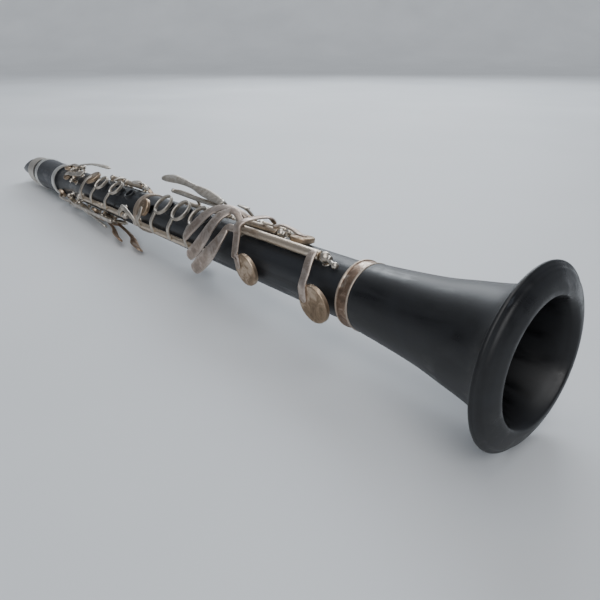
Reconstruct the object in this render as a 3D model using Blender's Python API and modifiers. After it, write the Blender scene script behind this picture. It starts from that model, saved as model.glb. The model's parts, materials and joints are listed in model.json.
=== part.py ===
"""A B flat clarinet of the Boehm pattern: black body, nickel-silver keywork, cork tenons and skin pads.

Places on the instrument are given as (station, angle, radius). The station is the distance in mm from the
bell's front along the bore. The angle is in degrees round the bore, from the player's front line towards
the player's right hand. The radius is in mm from the bore's axis. The bore lies along X with the bell at
+X, and the origin is halfway along it. The instrument lies as it rests on a table, rolled ROLL degrees.
"""

import math

import bmesh
import bpy
from mathutils import Matrix, Vector

# Driving dimensions, in mm and degrees.
MM = 0.001
ROLL = 28.0
GAP = 0.35
LENGTH = 664.0
BELL_TOP = 97.0
JOINT_MIDDLE = 332.0
JOINT_BARREL = 524.0
BARREL_TOP = 589.0
RIM_RADIUS = 39.5
BORE_RADIUS = 7.4
TENON_RADIUS = 11.6
CORK_RADIUS = 11.9
SOCKET_RADIUS = 12.25
ROUND_STEPS = 40

ROD_RADIUS = 1.0
TUBE_BORE = 1.4
TUBE_RADIUS = 2.1
POST_RADIUS = 1.5
BALL_RADIUS = 2.6
END_BALL_RADIUS = 3.15
STOUT_TUBE_RADIUS = 2.6
PIN_BALL = 1.9
ARM_THICKNESS = 1.7
CUP_HEIGHT = 2.9

COLOURS = {
    "black_wood": ((0.012, 0.012, 0.014), 0.32, 0.0),
    "black_rubber": ((0.010, 0.010, 0.011), 0.25, 0.0),
    "key_metal": ((0.42, 0.38, 0.33), 0.32, 1.0),
    "ring_metal": ((0.36, 0.30, 0.26), 0.40, 1.0),
    "pad_skin": ((0.62, 0.52, 0.38), 0.70, 0.0),
    "cork": ((0.52, 0.34, 0.19), 0.85, 0.0),
    "cane": ((0.76, 0.62, 0.34), 0.60, 0.0),
    "screw_steel": ((0.45, 0.45, 0.46), 0.30, 1.0),
}

ALONG = Vector((-1.0, 0.0, 0.0))


def clear_scene():
    for thing in list(bpy.data.objects):
        bpy.data.objects.remove(thing, do_unlink=True)


def outward(angle):
    turn = math.radians(angle + ROLL)
    return Vector((0.0, -math.sin(turn), math.cos(turn)))


def around(angle):
    turn = math.radians(angle + ROLL)
    return Vector((0.0, -math.cos(turn), -math.sin(turn)))


def at(station, angle, radius):
    """The point at a station, an angle and a radius, in metres."""
    return ALONG * (station - LENGTH / 2) * MM + outward(angle) * radius * MM


def facing(station, angle, radius):
    """A frame at that point whose Z points outward, X towards the mouthpiece and Y round the bore."""
    rows = Matrix((ALONG, outward(angle).cross(ALONG), outward(angle))).transposed()
    return Matrix.Translation(at(station, angle, radius)) @ rows.to_4x4()


def bore_frame(station=0.0):
    """A frame on the bore's axis: Z runs from the bell to the mouthpiece and X points to the front line."""
    rows = Matrix((outward(0), ALONG.cross(outward(0)), ALONG)).transposed()
    return Matrix.Translation(at(station, 0, 0)) @ rows.to_4x4()


def evaluated_mesh(thing):
    graph = bpy.context.evaluated_depsgraph_get()
    mesh = bpy.data.meshes.new_from_object(thing.evaluated_get(graph))
    bpy.data.objects.remove(thing, do_unlink=True)
    return mesh


def helper(mesh):
    thing = bpy.data.objects.new("helper", mesh)
    bpy.context.scene.collection.objects.link(thing)
    return thing


def faced_outward(mesh):
    shape = bmesh.new()
    shape.from_mesh(mesh)
    bmesh.ops.remove_doubles(shape, verts=shape.verts, dist=1e-7)
    bmesh.ops.recalc_face_normals(shape, faces=shape.faces)
    if shape.calc_volume(signed=True) < 0:
        bmesh.ops.reverse_faces(shape, faces=shape.faces)
    shape.to_mesh(mesh)
    shape.free()
    return mesh


def turned(profile, frame, steps=ROUND_STEPS):
    """A turned solid from (radius, height) points in mm, closed unless both its ends lie on the axis."""
    mesh = bpy.data.meshes.new("profile")
    points = [(radius * MM, 0.0, height * MM) for radius, height in profile]
    edges = [(i, i + 1) for i in range(len(points) - 1)]
    if profile[0][0] > 0 or profile[-1][0] > 0:
        edges.append((len(points) - 1, 0))
    mesh.from_pydata(points, edges, [])
    thing = helper(mesh)
    screw = thing.modifiers.new("turn", "SCREW")
    screw.axis = "Z"
    screw.steps = steps
    screw.render_steps = steps
    screw.use_merge_vertices = True
    screw.merge_threshold = 1e-6
    mesh = faced_outward(evaluated_mesh(thing))
    mesh.transform(frame)
    return mesh


def cylinder(start, end, radius, end_radius=None, sides=8):
    """A round bar between two points, with radii in mm."""
    shape = bmesh.new()
    run = end - start
    frame = Matrix.Translation((start + end) / 2) @ run.to_track_quat("Z", "Y").to_matrix().to_4x4()
    wide = radius * MM
    narrow = wide if end_radius is None else end_radius * MM
    bmesh.ops.create_cone(
        shape, cap_ends=True, segments=sides, radius1=wide, radius2=narrow, depth=run.length, matrix=frame
    )
    mesh = bpy.data.meshes.new("bar")
    shape.to_mesh(mesh)
    shape.free()
    return mesh


def ball(centre, radius, sides=9):
    shape = bmesh.new()
    frame = Matrix.Translation(centre) @ Matrix.Rotation(math.radians(90), 4, "Y")
    bmesh.ops.create_uvsphere(shape, u_segments=sides, v_segments=5, radius=radius * MM, matrix=frame)
    mesh = bpy.data.meshes.new("ball")
    shape.to_mesh(mesh)
    shape.free()
    return mesh


def strap(stops, thickness=ARM_THICKNESS):
    """A flat bar through stops of (point, outward direction, width in mm): a loft between unlike sections."""
    points = [stop[0] for stop in stops]
    shape = bmesh.new()
    sections = []
    for i, (point, up, width) in enumerate(stops):
        run = points[min(i + 1, len(points) - 1)] - points[max(i - 1, 0)]
        side = run.cross(up).normalized() * width * MM / 2
        lift = side.cross(run).normalized() * thickness * MM / 2
        corners = (point + side + lift, point - side + lift, point - side - lift, point + side - lift)
        sections.append([shape.verts.new(corner) for corner in corners])
    for near, far in zip(sections, sections[1:]):
        for i in range(4):
            shape.faces.new((near[i], near[(i + 1) % 4], far[(i + 1) % 4], far[i]))
    shape.faces.new(sections[0])
    shape.faces.new(reversed(sections[-1]))
    mesh = bpy.data.meshes.new("strap")
    shape.to_mesh(mesh)
    shape.free()
    return faced_outward(mesh)


def combined(base, other, operation):
    first = helper(base)
    second = helper(other)
    boolean = first.modifiers.new(operation.lower(), "BOOLEAN")
    boolean.operation = operation
    boolean.solver = "EXACT"
    boolean.object = second
    mesh = evaluated_mesh(first)
    bpy.data.objects.remove(second, do_unlink=True)
    return mesh


def united(meshes):
    whole = meshes[0]
    for mesh in meshes[1:]:
        whole = combined(whole, mesh, "UNION")
    return whole


def cut(mesh, cutters):
    for cutter in cutters:
        mesh = combined(mesh, cutter, "DIFFERENCE")
    return mesh


def material(name):
    if name in bpy.data.materials:
        return bpy.data.materials[name]
    colour, roughness, metallic = COLOURS[name]
    made = bpy.data.materials.new(name)
    made.use_nodes = True
    shader = made.node_tree.nodes["Principled BSDF"]
    shader.inputs["Base Color"].default_value = (*colour, 1.0)
    shader.inputs["Roughness"].default_value = roughness
    shader.inputs["Metallic"].default_value = metallic
    made.diffuse_color = (*colour, 1.0)
    return made


def piece(name, mesh, material_name, origin=None, parent=None):
    """Adds one sub-part, made of a mesh in world coordinates, with its origin at a point."""
    origin = origin if origin is not None else Vector((0.0, 0.0, 0.0))
    mesh.transform(Matrix.Translation(-origin))
    mesh.materials.clear()
    mesh.materials.append(material(material_name))
    mesh.shade_smooth()
    mesh.set_sharp_from_angle(angle=math.radians(35))
    thing = bpy.data.objects.new(name, mesh)
    thing.location = origin
    CLARINET.objects.link(thing)
    if parent is not None:
        thing.parent = parent
        thing.location = origin - parent.location
    return thing


# The hinges. A hinge along the bore is (angle, radius, stations of its posts).
LOWER_RADIUS = 18.3
UPPER_RADIUS = 17.4
HINGES = {
    "low_e_hinge": (-2, LOWER_RADIUS + 0.7, (113.5, 190)),
    "a_flat_hinge": (-28, LOWER_RADIUS, (160, 202)),
    "low_f_hinge": (-60, LOWER_RADIUS, (165, 193)),
    "f_sharp_hinge": (-106, LOWER_RADIUS, (192, 227)),
    "lever_hinge": (-84, LOWER_RADIUS, (234, 266, 300)),
    "lower_ring_hinge": (70, LOWER_RADIUS - 0.3, (220, 322)),
    "upper_ring_hinge": (66, UPPER_RADIUS, (343, 392, 447)),
    "upper_left_hinge": (-46, UPPER_RADIUS, (349, 386, 416)),
    "thumb_hinge": (222, UPPER_RADIUS, (428, 470)),
}


def body_radius(station):
    """The outer radius of the two joints, which taper slightly towards the barrel."""
    if station < JOINT_MIDDLE:
        return 15.7 - 1.1 * (station - BELL_TOP) / (JOINT_MIDDLE - BELL_TOP)
    return 14.5 - 0.4 * (station - JOINT_MIDDLE) / (JOINT_BARREL - JOINT_MIDDLE)


def first_ball(hinge):
    """The low E hinge, the longest, ends in a bigger ball."""
    return END_BALL_RADIUS if hinge == "low_e_hinge" else BALL_RADIUS


def hinge_frame(name):
    """A steel rod and the ball-headed posts that carry it."""
    angle, radius, stations = HINGES[name]
    head = first_ball(name)
    start = at(stations[0] - 3.6, angle, radius)
    parts = [cylinder(start, at(stations[-1] + 3.2, angle, radius), ROD_RADIUS)]
    for station in stations:
        foot = at(station, angle, body_radius(station) + GAP)
        parts.append(cylinder(foot, at(station, angle, radius), POST_RADIUS + 0.5, POST_RADIUS - 0.2))
        parts.append(ball(at(station, angle, radius), head if station == stations[0] else BALL_RADIUS))
    parts.append(cylinder(at(stations[0] - head - 1.3, angle, radius), at(stations[0], angle, radius), 1.7))
    if head > BALL_RADIUS:
        tip = at(stations[0] - 9, angle + 7, radius - 0.6)
        parts.append(cylinder(tip, at(stations[0], angle, radius), ROD_RADIUS))
        parts.append(ball(tip, PIN_BALL))
    piece(name, united(parts), "key_metal")


def swing(hinge, degrees):
    """A turn about a hinge's axis. A positive one goes over the front towards the player's left hand."""
    angle, radius, _ = HINGES[hinge]
    pivot = at(0, angle, radius)
    turn = Matrix.Rotation(math.radians(degrees), 4, ALONG)
    return Matrix.Translation(pivot) @ turn @ Matrix.Translation(-pivot)


def swung(mesh, hinge, degrees):
    mesh.transform(swing(hinge, degrees))
    return mesh


def swung_stops(stops, hinge, degrees):
    """The same turn for a strap's stops, so that a lever drawn as it rests meets a cup drawn closed."""
    turn = swing(hinge, degrees)
    return [(turn @ point, turn.to_3x3() @ up, width) for point, up, width in stops]


def cup(station, angle, radius, base):
    """A key cup, domed outside and open towards the body, whose rim stands at radius base from the bore."""
    wall = 0.8
    profile = [
        (0.0, CUP_HEIGHT),
        (radius * 0.8, CUP_HEIGHT - 0.2),
        (radius * 0.94, CUP_HEIGHT - 0.7),
        (radius, 1.4),
        (radius, 0.0),
        (radius - wall, 0.0),
        (radius - wall, 1.5),
        (0.0, 1.5),
    ]
    return turned(profile, facing(station, angle, base), 18)


def pad(station, angle, radius, base):
    """A pad that sits in a cup and reaches a little below its rim."""
    inner = radius - 0.8 - 0.3
    profile = [(0.0, 1.15), (inner, 1.15), (inner, -0.3), (inner - 0.5, -0.75), (0.0, -0.75)]
    return turned(profile, facing(station, angle, base), 16)


def finger_ring(station, angle, outer, inner, base, height=2.6):
    profile = [
        (outer - 0.5, height),
        (outer, height - 0.5),
        (outer, 0.0),
        (inner, 0.0),
        (inner, height - 0.7),
        (inner + 0.5, height),
    ]
    return turned(profile, facing(station, angle, base), 20)




CLARINET = bpy.data.collections.new("clarinet")


def key(name, hinge, parts, skin=None):
    """A key on a hinge along the bore, with its pad in its cup."""
    angle, radius, stations = HINGES[hinge]
    made = piece(name, united(parts), "key_metal", at(sum(stations[:2]) / 2, angle, radius))
    if skin:
        piece(name.replace("_key", "_pad"), skin, "pad_skin", made.location.copy(), made)


def tube_radius(hinge):
    return STOUT_TUBE_RADIUS if hinge == "low_e_hinge" else TUBE_RADIUS


def hinge_tube(hinge, first=0, second=1):
    """The tube that fills the hinge between two of its posts, bored through for the rod."""
    angle, radius, stations = HINGES[hinge]
    start = stations[first] + GAP + (BALL_RADIUS if first else first_ball(hinge))
    end = stations[second] - BALL_RADIUS - GAP
    wide = tube_radius(hinge)
    frame = bore_frame()
    frame.translation = at(0, angle, radius)
    return turned([(wide, start), (wide, end), (TUBE_BORE, end), (TUBE_BORE, start)], frame, 12)


# The body.


def bore_hole(station, angle, radius, start, end, sides=14):
    """A cutter along an outward direction, from one radius to another."""
    return cylinder(at(station, angle, start), at(station, angle, end), radius, sides=sides)


def bell():
    outer = [
        (16.2, BELL_TOP),
        (16.2, 88.2),
        (17.6, 88.2),
        (19.0, 70),
        (21.0, 50),
        (23.6, 35),
        (26.4, 20),
        (29.6, 12),
        (34.0, 8),
        (38.2, 7.2),
        (RIM_RADIUS, 6.0),
        (RIM_RADIUS, 4.4),
        (38.0, 3.2),
        (36.4, 2.6),
        (30.0, 0.0),
        (27.8, 0.0),
    ]
    inner = [
        (26.2, 2.0),
        (24.4, 8),
        (21.2, 22),
        (18.0, 40),
        (14.6, 60),
        (12.6, 75.5),
        (SOCKET_RADIUS, 75.5),
        (SOCKET_RADIUS, BELL_TOP),
    ]
    piece("bell", turned(outer + inner, bore_frame(), 44), "black_wood")
    band = [(17.8, BELL_TOP), (17.8, 88.55), (16.55, 88.55), (16.55, BELL_TOP)]
    piece("bell_ring", turned(band, bore_frame(), 36), "ring_metal")


RING_HOLES = (282, 256, 232)
LOW_HOLES = {"low_e": (109.2, 77.5), "low_f": (170.3, 75), "a_flat": (145, -38), "f_sharp": (209, -68)}
LOWER_PAD_HOLE = (307, 22)
UPPER_RING_HOLES = {"bridge": (372, 0), "index": (404, 0)}
UPPER_HOLES = {
    "bridge": (387, -20),
    "index": (429, -8),
    "c_sharp": (362, -92),
    "e_flat": (404, -86),
    "a": (508, -22),
    "g_sharp": (490, 14),
    "side_1": (412, 132),
    "side_2": (432, 117),
    "side_3": (488, 103),
    "side_4": (508, 90),
}
LEFT_HAND_HOLE = (352, 0)
THUMB_HOLE = (441, 180)
REGISTER_HOLE = (506, 180)


def lower_joint():
    low = body_radius(BELL_TOP)
    high = body_radius(JOINT_MIDDLE)
    profile = [
        (high - 1.2, JOINT_MIDDLE),
        (high - 1.2, JOINT_MIDDLE - 6.5),
        (high, JOINT_MIDDLE - 6.5),
        (low, BELL_TOP + GAP),
        (TENON_RADIUS, BELL_TOP + GAP),
        (TENON_RADIUS, 93),
        (10.7, 93),
        (10.7, 80),
        (TENON_RADIUS, 80),
        (TENON_RADIUS, 76),
        (10.2, 76),
        (8.2, 130),
        (BORE_RADIUS, 190),
        (BORE_RADIUS, 313),
        (SOCKET_RADIUS, 313),
        (SOCKET_RADIUS, JOINT_MIDDLE),
    ]
    mesh = turned(profile, bore_frame(), 32)
    chimneys = [bore_hole(s, 0, 5.0, 12, body_radius(s) + 2.2) for s in RING_HOLES]
    mesh = united([mesh] + chimneys)
    holes = [bore_hole(s, 0, 3.6, 3, 22, 12) for s in RING_HOLES]
    holes += [bore_hole(s, a, 4.6, 3, 22, 12) for s, a in LOW_HOLES.values()]
    holes.append(bore_hole(*LOWER_PAD_HOLE, 3.6, 3, 22, 12))
    piece("lower_joint", cut(mesh, holes), "black_wood")
    band = [
        (high + 1.1, JOINT_MIDDLE),
        (high + 1.1, JOINT_MIDDLE - 6),
        (high - 0.85, JOINT_MIDDLE - 6),
        (high - 0.85, JOINT_MIDDLE),
    ]
    piece("middle_ring", turned(band, bore_frame(), 40), "ring_metal")


def upper_joint():
    low = body_radius(JOINT_MIDDLE)
    high = body_radius(JOINT_BARREL)
    profile = [
        (TENON_RADIUS, 541),
        (TENON_RADIUS, 538),
        (10.7, 538),
        (10.7, 527),
        (TENON_RADIUS, 527),
        (TENON_RADIUS, JOINT_BARREL - GAP),
        (high, JOINT_BARREL - GAP),
        (low, JOINT_MIDDLE + GAP),
        (TENON_RADIUS, JOINT_MIDDLE + GAP),
        (TENON_RADIUS, 329),
        (10.7, 329),
        (10.7, 318),
        (TENON_RADIUS, 318),
        (TENON_RADIUS, 314),
        (BORE_RADIUS, 314),
        (BORE_RADIUS, 541),
    ]
    mesh = turned(profile, bore_frame(), 32)
    raised = [UPPER_RING_HOLES["bridge"], UPPER_RING_HOLES["index"], LEFT_HAND_HOLE]
    raised.append(THUMB_HOLE)
    mesh = united([mesh] + [bore_hole(s, a, 4.8, 12, body_radius(s) + 2.0) for s, a in raised])
    vent = bore_hole(*REGISTER_HOLE, 2.6, 12, body_radius(506) + 2.0, 10)
    mesh = united([mesh, vent])
    holes = [bore_hole(s, a, 3.4, 3, 22, 12) for s, a in raised]
    holes += [bore_hole(s, a, 2.6, 3, 22, 10) for s, a in UPPER_HOLES.values()]
    holes.append(bore_hole(*REGISTER_HOLE, 1.5, 3, 22, 8))
    piece("upper_joint", cut(mesh, holes), "black_wood")


def barrel():
    profile = [
        (15.2, BARREL_TOP),
        (15.2, 581.5),
        (16.4, 581.5),
        (15.9, 557),
        (16.4, 531.5),
        (15.2, 531.5),
        (15.2, JOINT_BARREL),
        (SOCKET_RADIUS, JOINT_BARREL),
        (SOCKET_RADIUS, 542),
        (BORE_RADIUS, 542),
        (BORE_RADIUS, 571),
        (SOCKET_RADIUS, 571),
        (SOCKET_RADIUS, BARREL_TOP),
    ]
    piece("barrel", turned(profile, bore_frame(), 30), "black_wood")
    for name, low, high in (("barrel_lower_ring", JOINT_BARREL, 531), ("barrel_upper_ring", 582, BARREL_TOP)):
        band = [(16.8, high), (16.8, low), (15.55, low), (15.55, high)]
        piece(name, turned(band, bore_frame(), 30), "ring_metal")


def corks():
    for name, low, high in (
        ("bell_tenon_cork", 80.3, 92.7),
        ("middle_tenon_cork", 318.3, 328.7),
        ("barrel_tenon_cork", 527.3, 537.7),
        ("mouthpiece_cork", 575.3, 585.7),
    ):
        band = [(CORK_RADIUS, high), (CORK_RADIUS, low), (11.05, low), (11.05, high)]
        piece(name, turned(band, bore_frame(), 28), "cork")


REED_ANGLE = 180
BODY_TOP = 624.0
TIP = LENGTH


def mouthpiece():
    """Turned, with a beak cut on one side, a flat table for the reed and a window into the chamber."""
    profile = [
        (0.0, TIP),
        (9.0, TIP),
        (11.6, BODY_TOP),
        (14.6, 592.5),
        (14.6, BARREL_TOP + GAP),
        (TENON_RADIUS, BARREL_TOP + GAP),
        (TENON_RADIUS, 586),
        (10.7, 586),
        (10.7, 575),
        (TENON_RADIUS, 575),
        (TENON_RADIUS, 572),
        (BORE_RADIUS, 572),
        (6.6, 632),
        (0.0, 632),
    ]
    mesh = turned(profile, bore_frame(), 28)
    table = 9.3
    front = outward(REED_ANGLE)
    side = around(REED_ANGLE)
    cutters = []
    for centre, normal, turn in (
        (at(635, REED_ANGLE, table + 10), front, 0.0),
        (at(657, REED_ANGLE + 180, 6.4 + 10.5), -front, 21.0),
    ):
        shape = bmesh.new()
        bmesh.ops.create_cube(shape, size=1.0)
        block = bpy.data.meshes.new("block")
        shape.to_mesh(block)
        shape.free()
        rows = Matrix((ALONG, normal.cross(ALONG), normal)).transposed().to_4x4()
        lean = Matrix.Rotation(math.radians(turn), 4, "Y")
        block.transform(
            Matrix.Translation(centre) @ rows @ lean @ Matrix.Diagonal((80 * MM, 50 * MM, 20 * MM, 1.0))
        )
        cutters.append(block)
    window = strap([(at(s, REED_ANGLE, table), front, 10.0) for s in (626, 655)], 9.0)
    cutters.append(window)
    piece("mouthpiece", cut(mesh, cutters), "black_rubber")
    reed_stops = [
        (604, 2.6, 12.0),
        (627, 2.6, 12.4),
        (650, 1.2, 12.6),
        (TIP - 0.8, 0.5, 12.4),
    ]
    shape = bmesh.new()
    sections = []
    for station, thick, width in reed_stops:
        base = at(station, REED_ANGLE, table + GAP)
        corners = (
            base + side * width / 2 * MM,
            base - side * width / 2 * MM,
            base - side * width / 2.4 * MM + front * thick * MM,
            base + side * width / 2.4 * MM + front * thick * MM,
        )
        sections.append([shape.verts.new(corner) for corner in corners])
    for near, far in zip(sections, sections[1:]):
        for i in range(4):
            shape.faces.new((near[i], near[(i + 1) % 4], far[(i + 1) % 4], far[i]))
    shape.faces.new(sections[0])
    shape.faces.new(reversed(sections[-1]))
    reed = bpy.data.meshes.new("reed")
    shape.to_mesh(reed)
    shape.free()
    piece("reed", faced_outward(reed), "cane")


def ligature():
    """A band round the mouthpiece and reed, with two lugs under the reed that its screws close."""
    ring = turned([(15.2, 621), (15.5, 600), (14.95, 600), (14.6, 621)], bore_frame(), 32)
    lugs = []
    for station in (604.5, 616.5):
        lugs.append(
            cylinder(
                at(station, REED_ANGLE, 17.2) - around(REED_ANGLE) * 5 * MM,
                at(station, REED_ANGLE, 17.2) + around(REED_ANGLE) * 5 * MM,
                2.0,
                sides=12,
            )
        )
    bores = []
    for station in (604.5, 616.5):
        middle = at(station, REED_ANGLE, 17.5)
        reach = around(REED_ANGLE) * 9 * MM
        bores.append(cylinder(middle - reach, middle + reach, 1.2, sides=10))
    piece("ligature", cut(united([ring] + lugs), bores), "key_metal")
    for number, station in enumerate((604.5, 616.5), 1):
        middle = at(station, REED_ANGLE, 17.5)
        shank = cylinder(
            middle - around(REED_ANGLE) * 7.5 * MM, middle + around(REED_ANGLE) * 8 * MM, 0.85, sides=10
        )
        head = cylinder(
            middle + around(REED_ANGLE) * 5.6 * MM, middle + around(REED_ANGLE) * 13 * MM, 2.6, 3.2, sides=12
        )
        piece(f"ligature_screw_{number}", united([shank, head]), "screw_steel")


def thumb_rest():
    plate = strap([stop(258, 180, 16.6, 11), stop(284, 180, 16.4, 11)], 1.6)
    hook = strap(
        [
            (at(262, 180, 16.2), ALONG, 10.0),
            (at(263, 180, 21.5), ALONG, 10.0),
            (at(267, 180, 25.4), ALONG, 10.0),
        ],
        2.2,
    )
    piece("thumb_rest", united([plate, hook]), "key_metal")


# Keys on the lower joint.

ROOT_RISE = 2.45
LOW_E_CUP = 10.4
LOW_F_CUP = 9.8
A_FLAT_CUP = 7.0
F_SHARP_CUP = 8.0
LOW_E_OPEN = 8
LOW_F_OPEN = 5
F_SHARP_OPEN = 5
LOWER_RINGS_OPEN = -12
UPPER_RINGS_OPEN = -7


def shell(station):
    """Where a closed cup's rim stands: the pad just clears the body."""
    return body_radius(station) + 1.15


def root(hinge, station, width):
    """An arm's first stop, on the outside of its hinge tube."""
    angle, radius, _ = HINGES[hinge]
    rise = ROOT_RISE + tube_radius(hinge) - TUBE_RADIUS
    return (at(station, angle, radius + rise), outward(angle), width)


def stop(station, angle, radius, width, lean=None):
    return (at(station, angle, radius), outward(angle if lean is None else lean), width)


def over(place, reach, side, width=4.0, shift=0.0):
    """An arm's last two stops, over a cup's rim and over its middle, or shifted along the bore from both."""
    station, angle = place
    top = (shell(station) + CUP_HEIGHT) * MM
    middle = ALONG * (station + shift - LENGTH / 2) * MM + outward(angle) * top
    rim = middle + around(angle) * side * reach * MM
    return [(rim, outward(angle), width), (middle, outward(angle), width * 0.8)]


def cup_and_pad(hinge, place, radius, opening=0.0):
    station, angle = place
    base = shell(station)
    made = swung(cup(station, angle, radius, base), hinge, opening)
    skin = swung(pad(station, angle, radius, base), hinge, opening)
    return made, skin


def filled_cup(place, radius, base):
    """A small cup with its pad as one piece: the pad is a flat disc that fills it."""
    profile = [
        (0.0, CUP_HEIGHT),
        (radius * 0.6, CUP_HEIGHT - 0.2),
        (radius, 1.3),
        (radius, 0.0),
        (radius - 1.0, -0.75),
        (0.0, -0.75),
    ]
    return turned(profile, facing(*place, base), 14)


def low_e_key():
    hinge = "low_e_hinge"
    place = LOW_HOLES["low_e"]
    made, skin = cup_and_pad(hinge, place, LOW_E_CUP, LOW_E_OPEN)
    stops = [root(hinge, 120.4, 5.4), stop(118.4, 14, 21.9, 5.4), stop(116.2, 34, 22.1, 5.6)]
    stops += swung_stops(over(place, 8.4, -1, 5.8, 5.6), hinge, LOW_E_OPEN)
    lever = strap([root(hinge, 184.5, 3.4), stop(188, -7, 24.2, 3.8), stop(194, -12, 26.6, 5)])
    touch = strap(
        [
            stop(193, -14, 26.7, 4.6, -8),
            stop(199, -11, 26.9, 7.0, 0),
            stop(202.5, 2, 27.0, 8.6, 12),
            stop(204, 18, 26.6, 8.8, 28),
            stop(207.5, 38, 26.2, 8.8, 46),
            stop(215.5, 58, 26.2, 8.4, 60),
            stop(225, 72, 27.2, 6.8, 68),
        ]
    )
    key("low_e_key", hinge, [hinge_tube(hinge), strap(stops), made, lever, touch], skin)


def low_f_key():
    hinge = "low_f_hinge"
    place = LOW_HOLES["low_f"]
    made, skin = cup_and_pad(hinge, place, LOW_F_CUP, LOW_F_OPEN)
    stops = [root(hinge, 180, 5.0)]
    stops += [stop(180, a, r, 5.8) for a, r in ((-46, 23.4), (-29, 23.9), (-12, 25.2), (0, 27.0), (9, 27.2))]
    stops += [stop(179.3, 17, 24.8, 5.8), stop(178.4, 28, 23.2, 5.8), stop(176.8, 46, 22.8, 5.8)]
    stops += swung_stops(over(place, 8.0, -1, 5.8, 5.2), hinge, LOW_F_OPEN)
    lever = strap([stop(179.4, 13, 25.8, 4), stop(187, 12, 25.2, 4.5), stop(194, 11, 24.8, 5)])
    touch = strap(
        [
            stop(192.5, 7, 24.6, 5.0, 8),
            stop(191.5, 27, 25.0, 7.4, 34),
            stop(193.6, 43, 26.4, 8.6, 52),
            stop(198.6, 58, 27.8, 9.2, 64),
            stop(209.5, 75, 29.2, 8.8, 74),
            stop(218, 85, 30.2, 6.6, 80),
        ]
    )
    key("low_f_key", hinge, [hinge_tube(hinge), strap(stops), lever, touch, made], skin)


def a_flat_key():
    hinge = "a_flat_hinge"
    place = LOW_HOLES["a_flat"]
    made, skin = cup_and_pad(hinge, place, A_FLAT_CUP)
    station, angle = place
    top = shell(station) + CUP_HEIGHT
    stops = [root(hinge, 168, 3.6), stop(163, -37, 22.0, 3.6), stop(154, -39, 21.2, 3.6)]
    arm = strap(stops + [stop(station + 3, angle, top + 0.2, 3.8), stop(station - 3, angle, top, 3)])
    lever = strap([root(hinge, 194, 3.4), stop(198, -27, 23.4, 3.8), stop(203, -22, 25.4, 4.4)])
    touch = strap(
        [
            stop(202, -23, 25.3, 4.2, -12),
            stop(208.5, -17, 26.4, 5.2, -6),
            stop(215, -8, 26.2, 7.0, 4),
            stop(219, 6, 25.7, 8.0, 16),
            stop(222.4, 22, 25.2, 8.0, 30),
            stop(227, 36.5, 25.0, 6.6, 42),
            stop(231, 50, 25.3, 4.4, 52),
        ]
    )
    key("a_flat_key", hinge, [hinge_tube(hinge), arm, made, lever, touch], skin)


def f_sharp_key():
    hinge = "f_sharp_hinge"
    place = LOW_HOLES["f_sharp"]
    made, skin = cup_and_pad(hinge, place, F_SHARP_CUP, F_SHARP_OPEN)
    stops = [root(hinge, 201, 3.8), stop(204, -99, 21.2, 3.8)]
    arm = swung(strap(stops + over(place, 7.8, -1, 4.2)), hinge, F_SHARP_OPEN)
    touch = strap(
        [
            root(hinge, 216, 3.6),
            stop(216, -94, 23.4, 3.4),
            stop(217, -74, 24.6, 3.6),
            stop(217, -60, 25.0, 4.4),
            stop(213, -50, 25.2, 6.2),
            stop(207, -45, 25.2, 6.4),
            stop(202, -43, 25.0, 4.4),
        ]
    )
    key("f_sharp_key", hinge, [hinge_tube(hinge), arm, made, touch], skin)


def levers():
    """The two levers for the left little finger, side by side on one hinge."""
    hinge = "lever_hinge"
    stops = [root(hinge, 244, 4), stop(244, -70, 24.6, 4), stop(246, -50, 27.4, 4), stop(248, -36, 27.8, 4)]
    web = strap(stops + [stop(249, -31, 28.8, 4)])
    leaf = strap(
        [
            stop(s, a, r, w, -4)
            for s, a, r, w in (
                (218, -24, 26.6, 4.4),
                (232, -29.5, 27.2, 6.4),
                (249, -34.5, 28.4, 7.2),
                (266, -36.5, 30.0, 4.4),
                (283, -37, 31.3, 6.2),
                (295, -33, 32.0, 8.6),
                (304, -29, 31.8, 4.8),
            )
        ]
    )
    key("left_e_lever", hinge, [hinge_tube(hinge, 0, 1), web, leaf])
    stops = [root(hinge, 282, 4), stop(282, -66, 22.6, 4), stop(280, -48, 23.4, 4), stop(277, -34, 23.6, 4)]
    web = strap(stops + [stop(276, -28, 24.0, 4)])
    leaf = strap(
        [
            stop(s, a, r, w, -8)
            for s, a, r, w in (
                (224, -31.5, 23.0, 3.2),
                (240, -29.5, 23.0, 4.0),
                (257, -29, 23.4, 4.0),
                (276, -30, 24.0, 4.8),
                (288, -28, 24.2, 3.4),
            )
        ]
    )
    key("left_f_sharp_lever", hinge, [hinge_tube(hinge, 1, 2), web, leaf])


def ring_on_stem(hinge, station, face, outer, inner, base, opening):
    """A finger ring, and the stem that holds it off the hinge tube."""
    hinge_angle = HINGES[hinge][0]
    rim = math.hypot(outer - 0.8, base + 1.4)
    edge = face + math.degrees(math.atan2(outer - 0.8, base + 1.4))
    stem = strap(
        [
            root(hinge, station + 6, 3.4),
            stop(station + 4.5, (hinge_angle + edge) / 2, rim + 1.4, 3.0),
            stop(station + 2.5, edge, rim, 3.4),
        ]
    )
    ring = finger_ring(station, face, outer, inner, base)
    return [swung(stem, hinge, opening), swung(ring, hinge, opening)]


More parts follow.
